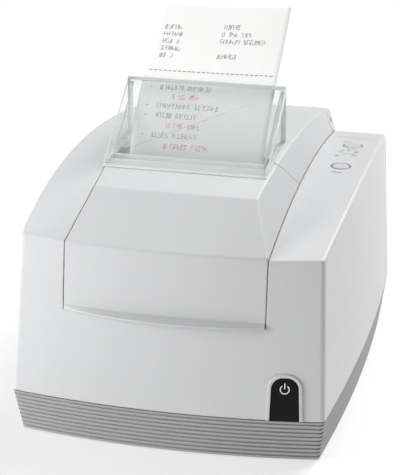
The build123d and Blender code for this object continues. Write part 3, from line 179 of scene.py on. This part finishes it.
def gloss(name, color, roughness=0.06):
    """Polished plastic with hairline scratches and finger smears."""
    n = Nodes(name)
    streak = n.noise(60.0, 5.0, 0.6, n.stretched((1.0, 1.0, 14.0)))
    smear = n.noise(45.0, 3.0)
    shade = n.mix(n.ramp(smear, 0.0, 1.0), scaled(color, 0.85), scaled(color, 1.25))
    rough = n.math("ADD", n.ramp(smear, 0.0, 0.03), n.ramp(streak, roughness, roughness + 0.04))
    n.set(Base_Color=shade, Roughness=rough, Normal=n.bump(streak, 0.02, 0.00001))
    n.shader.inputs["Specular IOR Level"].default_value = 0.12
    n.shader.inputs["Coat Weight"].default_value = 0.05
    n.shader.inputs["Coat Roughness"].default_value = 0.04
    return n.material


def metal(name, color, roughness=0.32, stretch=(1.0, 60.0, 60.0), scale=40.0, metallic=1.0, stains=0.12):
    """Drawn or brushed metal: fine lines along one axis, dull patches and bright edges."""
    n = Nodes(name)
    lines = n.noise(scale, 5.0, 0.65, n.stretched(stretch))
    patch = n.noise(55.0, 4.0)
    shade = n.mix(n.ramp(lines, 0.0, 1.0, 0.25, 0.75), scaled(color, 0.86), scaled(color, 1.08))
    shade = n.mix(n.ramp(patch, 0.0, stains, 0.45, 0.7), shade, scaled(color, 0.55))
    shade = n.mix(n.math("MULTIPLY", n.worn_edges(), 0.5), shade, scaled(color, 1.35))
    rough = n.math("ADD", n.ramp(patch, -0.03, 0.07), n.ramp(lines, roughness - 0.05, roughness + 0.08))
    n.set(Base_Color=shade, Roughness=rough, Normal=n.bump(lines, 0.15, 0.00003))
    n.shader.inputs["Metallic"].default_value = metallic
    return n.material


def rubber(name, color):
    """Matt rubber with a ground surface and pale dust in its pores."""
    n = Nodes(name)
    pores = n.cells(1400.0)
    dust = n.noise(120.0, 5.0)
    shade = n.mix(n.ramp(dust, 0.0, 0.35, 0.45, 0.75), color, scaled(color, 2.4))
    shade = n.mix(n.math("MULTIPLY", n.worn_edges(), 0.3), shade, scaled(color, 3.0))
    rough = n.ramp(dust, 0.72, 0.9)
    n.set(Base_Color=shade, Roughness=rough, Normal=n.bump(pores, 0.5, 0.00006))
    return n.material


def paper(name, color, warm, glow=0.0):
    """Uncoated roll paper: fibres and soft mottling, with a glow for the light that comes through it."""
    n = Nodes(name)
    fibres = n.noise(1500.0, 6.0, 0.7, n.stretched((1.0, 0.35, 0.35)))
    mottle = n.noise(85.0, 4.0)
    shade = n.mix(n.ramp(mottle, 0.0, 1.0), color, warm)
    shade = n.mix(n.ramp(fibres, 0.0, 0.16, 0.5, 0.75), shade, scaled(warm, 0.8))
    n.set(Base_Color=shade, Roughness=n.ramp(fibres, 0.78, 0.95), Normal=n.bump(fibres, 0.25, 0.00004))
    n.shader.inputs["Specular IOR Level"].default_value = 0.25
    n.shader.inputs["Emission Color"].default_value = (1.0, 1.0, 0.99, 1.0)
    n.shader.inputs["Emission Strength"].default_value = glow
    return n.material


def card(name, color):
    """Wound cardboard with a spiral seam."""
    n = Nodes(name)
    fibres = n.noise(700.0, 6.0, 0.7, n.stretched((1.0, 4.0, 4.0)))
    wind = n.add("ShaderNodeTexWave")
    wind.inputs["Scale"].default_value = 18.0
    wind.inputs["Distortion"].default_value = 0.6
    n.join(n.stretched((1.0, 0.4, 0.4)), wind.inputs["Vector"])
    shade = n.mix(n.ramp(fibres, 0.0, 1.0), scaled(color, 0.8), scaled(color, 1.15))
    shade = n.mix(n.ramp(wind.outputs["Fac"], 0.0, 0.25, 0.9, 1.0), shade, scaled(color, 0.5))
    n.set(Base_Color=shade, Roughness=n.ramp(fibres, 0.8, 0.95), Normal=n.bump(fibres, 0.4, 0.0001))
    return n.material


def circuit_board(name, color):
    """Solder mask over copper runs, with rows of plated holes."""
    n = Nodes(name)
    runs = n.cells(260.0, "DISTANCE_TO_EDGE", n.stretched((1.0, 0.45, 1.0)))
    trace_mask = n.ramp(runs, 1.0, 0.0, 0.02, 0.06)
    holes = n.ramp(n.cells(330.0), 1.0, 0.0, 0.05, 0.11)
    weave = n.noise(800.0, 3.0)
    shade = n.mix(n.ramp(weave, 0.0, 1.0), scaled(color, 0.85), scaled(color, 1.15))
    shade = n.mix(n.math("MULTIPLY", trace_mask, 0.7), shade, scaled(color, 2.1))
    shade = n.mix(holes, shade, (0.62, 0.60, 0.52))
    rough = n.math("SUBTRACT", n.ramp(weave, 0.32, 0.42), n.math("MULTIPLY", holes, 0.12))
    height = n.math("ADD", trace_mask, holes)
    n.set(Base_Color=shade, Roughness=rough, Normal=n.bump(height, 0.5, 0.00004))
    return n.material


def clear_plastic(name, color, roughness=0.03):
    """Cast clear sheet: faint tint, a few hairlines and slight waviness."""
    n = Nodes(name)
    hair = n.noise(260.0, 4.0, 0.6, n.stretched((1.0, 8.0, 1.0)))
    wave = n.noise(26.0, 2.0)
    tint = n.mix(n.ramp(wave, 0.0, 1.0), color, scaled(color, 0.985))
    rough = n.ramp(hair, roughness, roughness + 0.03)
    n.set(Base_Color=tint, Roughness=rough, Normal=n.bump(wave, 0.05, 0.0001))
    n.shader.inputs["Transmission Weight"].default_value = 1.0
    n.shader.inputs["IOR"].default_value = 1.49
    return n.material


def frosted(name, color):
    """Milky light pipe with a fine grain."""
    n = Nodes(name)
    grains = n.noise(900.0, 3.0)
    shade = n.mix(n.ramp(grains, 0.0, 1.0), scaled(color, 0.9), scaled(color, 1.1))
    n.set(Base_Color=shade, Roughness=n.ramp(grains, 0.3, 0.45), Normal=n.bump(grains, 0.2, 0.00002))
    n.shader.inputs["Transmission Weight"].default_value = 0.3
    n.shader.inputs["Coat Weight"].default_value = 0.3
    return n.material


def sheet_face(name, color, opacity):
    """Polished face of a clear sheet, partly opaque: its pale colour and opacity are painted light, a
    painted reflection veil on the faces and a painted highlight on the foot band.
    """
    n = Nodes(name)
    hair = n.noise(300.0, 4.0, 0.6, n.stretched((1.0, 6.0, 1.0)))
    smear = n.noise(30.0, 3.0)
    shade = n.mix(n.ramp(smear, 0.0, 1.0), color, scaled(color, 0.96))
    n.set(Base_Color=shade, Roughness=n.ramp(hair, 0.02, 0.07), Normal=n.bump(hair, 0.02, 0.00002))
    n.set(Alpha=n.ramp(smear, opacity - 0.02, opacity + 0.03))
    n.shader.inputs["IOR"].default_value = 1.49
    n.material.blend_method = "HASHED"
    return n.material


def sheet_edge(name, color):
    """Polished edge of a clear sheet, opaque pale and faintly glowing: a painted highlight for the light
    that gathers in the edge.
    """
    n = Nodes(name)
    polish = n.noise(420.0, 3.0, 0.5, n.stretched((4.0, 1.0, 1.0)))
    shade = n.mix(n.ramp(polish, 0.0, 1.0), scaled(color, 0.88), scaled(color, 1.08))
    n.set(Base_Color=shade, Roughness=n.ramp(polish, 0.12, 0.26), Normal=n.bump(polish, 0.08, 0.00003))
    # The emission is painted light: the edge glows though it is no lamp.
    n.shader.inputs["Emission Strength"].default_value = 0.10
    n.shader.inputs["Emission Color"].default_value = (*color, 1.0)
    n.shader.inputs["Coat Weight"].default_value = 0.5
    return n.material


def ink(name, color):
    """Printed mark, denser where the print head overlapped."""
    n = Nodes(name)
    spread = n.noise(3000.0, 2.0)
    shade = n.mix(n.ramp(spread, 0.0, 1.0), color, scaled(color, 1.9))
    n.set(Base_Color=shade, Roughness=n.ramp(spread, 0.6, 0.8))
    return n.material


CASE_COLOR = (0.655, 0.66, 0.668)
materials = {
    "case_plastic": plastic("case_plastic", CASE_COLOR, 0.42, radius=0.0009),
    "base_plastic": plastic(
        "base_plastic", (0.41, 0.412, 0.42), 0.52, grain=2200.0, strength=0.35, radius=0.0008
    ),
    "foot_rubber": rubber("foot_rubber", (0.03, 0.03, 0.032)),
    "screw_steel": metal("screw_steel", (0.60, 0.61, 0.63), 0.3, (1.0, 1.0, 1.0), 500.0),
    "bezel_plastic": plastic("bezel_plastic", (0.64, 0.645, 0.655), 0.33, radius=0.0003),
    "power_plastic": gloss("power_plastic", (0.003, 0.003, 0.0035)),
    "switch_plastic": plastic("switch_plastic", (0.03, 0.03, 0.033), 0.5),
    "blade_steel": metal("blade_steel", (0.62, 0.63, 0.65), 0.25, (1.0, 1.0, 30.0), 120.0),
    "pin_steel": metal("pin_steel", (0.56, 0.57, 0.59), 0.22, (1.0, 30.0, 30.0), 60.0),
    "guard_clear": clear_plastic("guard_clear", (0.93, 0.98, 0.95)),
    "receipt_paper": paper("receipt_paper", (0.975, 0.975, 0.97), (0.965, 0.962, 0.95), 0.010),
    "button_plastic": plastic("button_plastic", (0.63, 0.635, 0.645), 0.36, radius=0.0003),
    "light_pipe": frosted("light_pipe", (0.62, 0.66, 0.63)),
    "circuit_board": circuit_board("circuit_board", (0.02, 0.16, 0.07)),
    "chip_black": plastic("chip_black", (0.025, 0.025, 0.027), 0.5, grain=3400.0),
    "plate_steel": metal("plate_steel", (0.60, 0.61, 0.62), 0.36, (1.0, 22.0, 22.0), 45.0, stains=0.2),
    "socket_black": plastic("socket_black", (0.03, 0.03, 0.032), 0.42),
    "socket_metal": metal("socket_metal", (0.66, 0.66, 0.67), 0.28, (1.0, 12.0, 1.0), 90.0),
    "carriage_black": plastic("carriage_black", (0.045, 0.045, 0.05), 0.5),
    "cartridge_plastic": plastic("cartridge_plastic", (0.10, 0.11, 0.13), 0.36),
    "latch_green": plastic("latch_green", (0.06, 0.30, 0.16), 0.4, wear=0.4),
    "belt_rubber": rubber("belt_rubber", (0.02, 0.02, 0.022)),
    "gear_plastic": plastic("gear_plastic", (0.74, 0.72, 0.64), 0.32, wear=0.1),
    "motor_steel": metal("motor_steel", (0.46, 0.47, 0.49), 0.34, (30.0, 1.0, 1.0), 45.0, stains=0.25),
    "platen_plastic": plastic("platen_plastic", (0.06, 0.06, 0.065), 0.55),
    "web_paper": paper("web_paper", (0.86, 0.855, 0.84), (0.82, 0.81, 0.78)),
    "roller_rubber": rubber("roller_rubber", (0.07, 0.07, 0.075)),
    "core_card": card("core_card", (0.42, 0.29, 0.17)),
    "bucket_plastic": plastic("bucket_plastic", (0.20, 0.21, 0.23), 0.5),
}

for row in frame["record"]["subparts"]:
    data = nodes[row["node"]].data
    data.materials.clear()
    data.materials.append(materials[row["material_slot"]])


# ---------------------------------------------------------------- mesh helpers
def mesh_piece(name, bm, *finishes):
    bmesh.ops.recalc_face_normals(bm, faces=bm.faces)
    data = bpy.data.meshes.new(name)
    bm.to_mesh(data)
    bm.free()
    for finish in finishes:
        data.materials.append(finish)
    piece = bpy.data.objects.new(name, data)
    bpy.context.collection.objects.link(piece)
    return piece


# ---------------------------------------------------------------- splash guard
FOOT_HEIGHT = 0.004
FOOT_FACE_AREA = 0.00008
PANE_AREA = 0.0005
FACE_AREA = 0.0006
RIM_WIDTH = 0.0009


def make_guard():
    """The guard on the CAD solid's own shape: faces under a pale painted reflection veil, with a whitish
    foot band and glowing edges and pane rims as painted highlights.
    """
    bm = bmesh.new()
    bm.from_mesh(nodes["splash_guard"].data)
    bmesh.ops.remove_doubles(bm, verts=bm.verts, dist=0.00002)
    bmesh.ops.dissolve_limit(bm, angle_limit=math.radians(1.0), verts=bm.verts, edges=bm.edges)
    # Part the side panels from the sloping sheet along its back face.
    back = max(bm.faces, key=lambda face: face.calc_area() * (face.normal.z < -0.5))
    level, slope = back.calc_center_median(), back.normal.copy()
    bmesh.ops.bisect_plane(bm, geom=bm.verts[:] + bm.edges[:] + bm.faces[:], plane_co=level, plane_no=slope)
    foot_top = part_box("splash_guard")[0].z + FOOT_HEIGHT
    panes = []
    for face in bm.faces:
        face.smooth = False
        area = face.calc_area()
        # Large low faces of the foot get the foot finish, a near-white painted highlight band.
        in_foot = face.calc_center_median().z < foot_top and abs(face.normal.x) < 0.1
        if in_foot and area > FOOT_FACE_AREA:
            face.material_index = 2
        elif area > FACE_AREA:
            face.material_index = 0
        else:
            face.material_index = 1
        if area > PANE_AREA:
            panes.append(face)
    # Inset strips round each large pane take the edge finish: painted highlight outlines along the pane
    # borders.
    rim = bmesh.ops.inset_individual(bm, faces=panes, thickness=RIM_WIDTH)["faces"]
    for face in rim:
        face.material_index = 1
    piece = mesh_piece(
        "guard",
        bm,
        # guard_face: pale and about a fifth opaque, a painted reflection veil over what is seen through the
        # sheet.
        sheet_face("guard_face", (0.76, 0.79, 0.80), 0.19),
        # guard_edge: pale green-grey with a faint glow, the painted highlight on the sheet's edges and pane
        # rims.
        sheet_edge("guard_edge", (0.66, 0.725, 0.695)),
        # guard_foot: near-white, two-thirds opaque, a painted highlight for the bright bottom edge of the
        # sheet.
        sheet_face("guard_foot", (0.95, 0.97, 0.965), 0.66),
    )
    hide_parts("splash_guard")
    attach(piece, "rear_cover")


# ---------------------------------------------------------------- receipt
# The line that the paper follows, in Y and Z, from the slot to its cut end.
RECEIPT_LINE = (
    (-0.0246, 0.1388),
    (-0.0202, 0.1480),
    (-0.0110, 0.1590),
    (0.0000, 0.1700),
    (0.0138, 0.1818),
    (0.0330, 0.1960),
    (0.0600, 0.2175),
)
PAPER_MIDDLE = -0.0035
PAPER_HALF = 0.0400
PAPER_T = 0.00012
PAPER_STEPS = 90


def smooth_line(points, steps):
    """Points evenly spread along a smooth curve through the given ones."""
    before = [2 * a - b for a, b in zip(points[0], points[1])]
    after = [2 * a - b for a, b in zip(points[-1], points[-2])]
    ends = [before, *points, after]
    fine = []
    for place in range(1, len(ends) - 2):
        p0, p1, p2, p3 = ends[place - 1 : place + 3]
        for step in range(40):
            t = step / 40
            fine.append(
                Vector(
                    0.5
                    * (
                        2 * b
                        + (c - a) * t
                        + (2 * a - 5 * b + 4 * c - d) * t**2
                        + (3 * b - a - 3 * c + d) * t**3
                    )
                    for a, b, c, d in zip(p0, p1, p2, p3)
                )
            )
    fine.append(Vector(points[-1]))
    length = sum((b - a).length for a, b in zip(fine, fine[1:]))
    line, gone, place = [fine[0]], 0.0, 0
    for step in range(1, steps):
        wanted = length * step / steps
        while gone + (fine[place + 1] - fine[place]).length < wanted:
            gone += (fine[place + 1] - fine[place]).length
            place += 1
        part = (wanted - gone) / (fine[place + 1] - fine[place]).length
        line.append(fine[place].lerp(fine[place + 1], part))
    line.append(fine[-1])
    return line, length


paper_line, paper_length = smooth_line(RECEIPT_LINE, PAPER_STEPS)


def on_paper(across, along, lift=0.0):
    """Point on the receipt's front, across from its middle and along from the slot."""
    share = min(max(along / paper_length, 0.0), 1.0)
    place = min(int(share * PAPER_STEPS), PAPER_STEPS - 1)
    here, there = paper_line[place], paper_line[place + 1]
    spot = here.lerp(there, share * PAPER_STEPS - place)
    ahead = (there - here).normalized()
    out = Vector((-ahead.y, ahead.x))
    side = across / PAPER_HALF
    curl = 0.0011 * share**2 * (1 - side**2)
    twist = share**2 * (0.0013 * side - 0.0006)
    skew = -0.0007 * math.sin(math.pi * share) * (1 - side)
    spot = spot + out * (lift - curl)
    return Vector((PAPER_MIDDLE + across + skew, spot.x, spot.y + twist))


def make_receipt():
    bm = bmesh.new()
    columns = 24
    rows = []
    for step in range(PAPER_STEPS + 1):
        along = paper_length * step / PAPER_STEPS
        row = []
        for column in range(columns + 1):
            across = PAPER_HALF * (2 * column / columns - 1)
            ragged = 0.0004 * math.sin(column * 2.4) if step == PAPER_STEPS else 0.0
            row.append(bm.verts.new(on_paper(across, along) + Vector((0, 0, ragged))))
        rows.append(row)
    for lower, upper in zip(rows, rows[1:]):
        for column in range(columns):
            corners = (lower[column], lower[column + 1], upper[column + 1], upper[column])
            bm.faces.new(corners).smooth = True
    piece = mesh_piece("receipt_sheet", bm, materials["receipt_paper"])
    thick = piece.modifiers.new("thick", "SOLIDIFY")
    thick.thickness = PAPER_T
    thick.offset = 0.0
    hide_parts("receipt")
    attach(piece, "rear_cover")


CHAR_PITCH = 0.00205
CHAR_W = 0.00138
CHAR_H = 0.0031
STROKE = 0.00034
STROKES = (
    (0, 0, 0, 1),
    (1, 0, 1, 1),
    (0, 0, 1, 0),
    (0, 1, 1, 1),
    (0, 0.5, 1, 0.5),
    (0.5, 0, 0.5, 1),
    (0, 0.5, 0, 1),
    (1, 0, 1, 0.5),
)
HYPHEN = STROKES[4]
# Rows of nonsense marks: start across, height along the paper, marks in each word.
BLACK_ROWS = (
    (-0.0345, 0.0985, (5,)),
    (-0.0345, 0.0930, (6,)),
    (-0.0340, 0.0875, (3, 1)),
    (-0.0340, 0.0820, (6,)),
    (-0.0335, 0.0765, (2, 1)),
    (0.0015, 0.1000, (5,)),
    (0.0010, 0.0945, (1, 3, 3)),
    (0.0010, 0.0890, (6, 7)),
    (0.0010, 0.0775, (6,)),
    (-0.0345, 0.0520, (1,)),
    (-0.0280, 0.0520, (7, 7)),
    (-0.0345, 0.0390, (1,)),
    (-0.0280, 0.0390, (10, 7)),
    (-0.0345, 0.0325, (1,)),
    (-0.0280, 0.0325, (5, 6)),
    (-0.0345, 0.0195, (1,)),
    (-0.0280, 0.0195, (5, 7)),
)
RED_ROWS = (
    (-0.0200, 0.0455, (1, 2, 3)),
    (-0.0200, 0.0260, (1, 3, 4)),
    (-0.0200, 0.0125, (1, 5, 5)),
)


def add_bar(bm, start, end, width, lift=0.00013):
    """Flat bar on the paper from start to end."""
    run = Vector((end[0] - start[0], end[1] - start[1]))
    side = Vector((-run.y, run.x)).normalized() * width / 2
    corners = []
    for base, sign in ((start, -1), (end, -1), (end, 1), (start, 1)):
        corners.append(bm.verts.new(on_paper(base[0] + sign * side.x, base[1] + sign * side.y, lift)))
    bm.faces.new(corners)


def print_rows(name, rows, finish, seed):
    """Rows of marks that look printed but spell nothing."""
    chance = random.Random(seed)
    bm = bmesh.new()
    for across, along, words in rows:
        place = across
        is_hyphen = words == (1,)
        width = STROKE * 1.6 if is_hyphen else STROKE
        for word in words:
            for _ in range(word):
                if is_hyphen:
                    picked = [HYPHEN]
                else:
                    picked = chance.sample(STROKES, chance.randint(3, 4))
                for x0, y0, x1, y1 in picked:
                    start = (place + x0 * CHAR_W, along + (y0 - 0.5) * CHAR_H)
                    end = (place + x1 * CHAR_W, along + (y1 - 0.5) * CHAR_H)
                    add_bar(bm, start, end, width)
                place += CHAR_PITCH
            place += CHAR_PITCH
    if name == "print_black":
        for dash in range(26):
            start = -0.0375 + dash * 0.0029
            add_bar(bm, (start, 0.0645), (start + 0.0020, 0.0645), 0.00062)
    piece = mesh_piece(name, bm, finish)
    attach(piece, "rear_cover")


# ---------------------------------------------------------------- marks on the mouldings
def surface(node):
    """The node's mesh, ready to be met by rays, in frame space."""
    data = nodes[node].data
    place = nodes[node].matrix_world
    corners = [place @ vertex.co for vertex in data.vertices]
    return BVHTree.FromPolygons(corners, [tuple(face.vertices) for face in data.polygons])


def add_mark(bm, tree, spots, inward, lift):
    """One flat polygon laid on a surface, met from outside."""
    corners = []
    for spot in spots:
        met = tree.ray_cast(spot - inward * 0.03, inward)[0]
        corners.append(bm.verts.new(met - inward * lift))
    bm.faces.new(corners)


def arc_strip(middle, across, up, radius, width, first, last, steps=28):
    """Quads of a flat arc, its angles in degrees from the across direction."""
    quads = []
    for step in range(steps):
        a = math.radians(first + (last - first) * step / steps)
        b = math.radians(first + (last - first) * (step + 1) / steps)
        quad = []
        for angle, reach in (
            (a, radius - width / 2),
            (a, radius + width / 2),
            (b, radius + width / 2),
            (b, radius - width / 2),
        ):
            quad.append(middle + across * math.cos(angle) * reach + up * math.sin(angle) * reach)
        quads.append(quad)
    return quads


def bar_quad(middle, across, up, width, height):
    right, rise = across * width / 2, up * height / 2
    return [middle - right - rise, middle + right - rise, middle + right + rise, middle - right + rise]


SYMBOL_X, SYMBOL_Z = 0.0688, 0.0458


def make_power_symbol():
    """Ring with a bar through its gap, printed white on the power button."""
    tree = surface("power_button")
    inward = Vector((-0.132666, 0.981358, -0.139058)).normalized()
    across = Vector((0.9910, 0.1339, 0.0)).normalized()
    up = Vector((0.0, 0.1403, 0.9901))
    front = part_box("power_button")[0].y
    middle = Vector((SYMBOL_X, front, SYMBOL_Z))
    bm = bmesh.new()
    for quad in arc_strip(middle, across, up, 0.00245, 0.00055, 125, 415):
        add_mark(bm, tree, quad, inward, 0.00003)
    add_mark(bm, tree, bar_quad(middle + up * 0.0021, across, up, 0.00055, 0.0034), inward, 0.00003)
    piece = mesh_piece("power_symbol", bm, ink("symbol_white", (0.86, 0.87, 0.88)))
    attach(piece, "power_button")


def make_panel_marks():
    """Small generic marks that label the buttons and lights on the pod."""
    tree = surface("main_case")
    down = Vector((0, 0, -1))
    across, up = Vector((1, 0, 0)), Vector((0, 1, 0))
    bm = bmesh.new()

    def at(x, y):
        return Vector((x / 1000, y / 1000, 0.13))

    for x, y, width, height in (
        (71.6, 13.2, 1.2, 1.6),
        (73.2, 13.0, 1.2, 1.6),
        (74.8, 12.8, 1.2, 1.6),
        (76.4, 12.6, 1.2, 1.6),
        (79.2, 46.0, 2.6, 0.5),
        (79.2, 48.0, 2.6, 0.5),
        (77.9, 47.0, 0.5, 2.4),
        (80.5, 47.0, 0.5, 2.4),
        (72.6, 46.6, 2.2, 0.5),
        (73.8, 61.4, 2.2, 0.5),
        (77.6, 60.6, 2.2, 0.5),
        (68.4, 79.4, 1.2, 1.6),
        (70.0, 79.2, 1.2, 1.6),
        (71.6, 79.0, 1.2, 1.6),
    ):
        add_mark(bm, tree, bar_quad(at(x, y), across, up, width / 1000, height / 1000), down, 0.00005)
    for x, y, first, last in ((74.8, 24.0, 0, 360), (74.8, 70.0, 0, 360), (74.8, 56.2, 200, 350)):
        for quad in arc_strip(at(x, y), across, up, 0.00615, 0.00040, first, last):
            add_mark(bm, tree, quad, down, 0.00005)
    start, end = Vector((61.5, 94.0)), Vector((85.2, 90.0))
    for step in range(12):
        a, b = start.lerp(end, step / 12), start.lerp(end, (step + 1) / 12)
        quad = [at(a.x, a.y - 0.2), at(b.x, b.y - 0.2), at(b.x, b.y + 0.2), at(a.x, a.y + 0.2)]
        add_mark(bm, tree, quad, down, 0.00005)
    piece = mesh_piece("panel_marks", bm, ink("panel_ink", (0.16, 0.165, 0.18)))
    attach(piece, "frame")


make_guard()
make_receipt()
print_rows("print_black", BLACK_ROWS, ink("print_gray", (0.20, 0.20, 0.215)), 7)
print_rows("print_red", RED_ROWS, ink("print_red", (0.62, 0.10, 0.09)), 11)
make_power_symbol()
make_panel_marks()


# ---------------------------------------------------------------- lights, floor, camera
def make_floor():
    bm = bmesh.new()
    bmesh.ops.create_grid(bm, x_segments=1, y_segments=1, size=6.0)
    n = Nodes("floor")
    clouds = n.noise(2.0, 2.0)
    n.set(Base_Color=n.mix(n.ramp(clouds, 0.0, 1.0), (0.45, 0.45, 0.45), (0.46, 0.46, 0.46)), Roughness=0.95)
    n.shader.inputs["Specular IOR Level"].default_value = 0.0
    n.shader.inputs["Emission Color"].default_value = (1.0, 1.0, 1.0, 1.0)
    n.shader.inputs["Emission Strength"].default_value = 0.54
    floor = mesh_piece("floor", bm, n.material)


def area_light(name, place, aim, size, watts):
    data = bpy.data.lights.new(name, "AREA")
    data.shape = "RECTANGLE"
    data.size, data.size_y = size
    data.energy = watts
    light = bpy.data.objects.new(name, data)
    light.location = place
    light.rotation_euler = (Vector(aim) - Vector(place)).to_track_quat("-Z", "Y").to_euler()
    bpy.context.collection.objects.link(light)


def make_lights():
    middle = (0, 0, 0.08)
    area_light("key", (-0.82, -0.57, 0.35), (-0.03, -0.05, 0.08), (0.45, 0.45), 7.6)
    area_light("top", (0.67, 1.05, 1.50), middle, (1.2, 1.2), 41)
    area_light("front", (-0.38, -0.48, 1.30), middle, (0.9, 0.9), 3.4)
    world = bpy.data.worlds.new("studio")
    world.use_nodes = True
    background = world.node_tree.nodes["Background"]
    background.inputs["Color"].default_value = (1.0, 1.0, 1.0, 1.0)
    background.inputs["Strength"].default_value = 0.12
    bpy.context.scene.world = world


CAMERA_AZIMUTH = math.radians(13.468)
CAMERA_ELEVATION = math.radians(21.245)
CAMERA_DISTANCE = 1.01632
CAMERA_TARGET = Vector((0.01994, -0.110, 0.1308))
CAMERA_LENS = 142.06


def make_camera():
    data = bpy.data.cameras.new("camera")
    data.lens = CAMERA_LENS
    data.sensor_width = 36.0
    camera = bpy.data.objects.new("camera", data)
    level = math.cos(CAMERA_ELEVATION)
    forward = Vector(
        (
            -math.sin(CAMERA_AZIMUTH) * level,
            math.cos(CAMERA_AZIMUTH) * level,
            -math.sin(CAMERA_ELEVATION),
        )
    )
    camera.location = CAMERA_TARGET - forward * CAMERA_DISTANCE
    camera.rotation_euler = forward.to_track_quat("-Z", "Y").to_euler()
    bpy.context.collection.objects.link(camera)
    bpy.context.scene.camera = camera
    bpy.context.scene.view_settings.view_transform = "Standard"


make_floor()
make_lights()
make_camera()
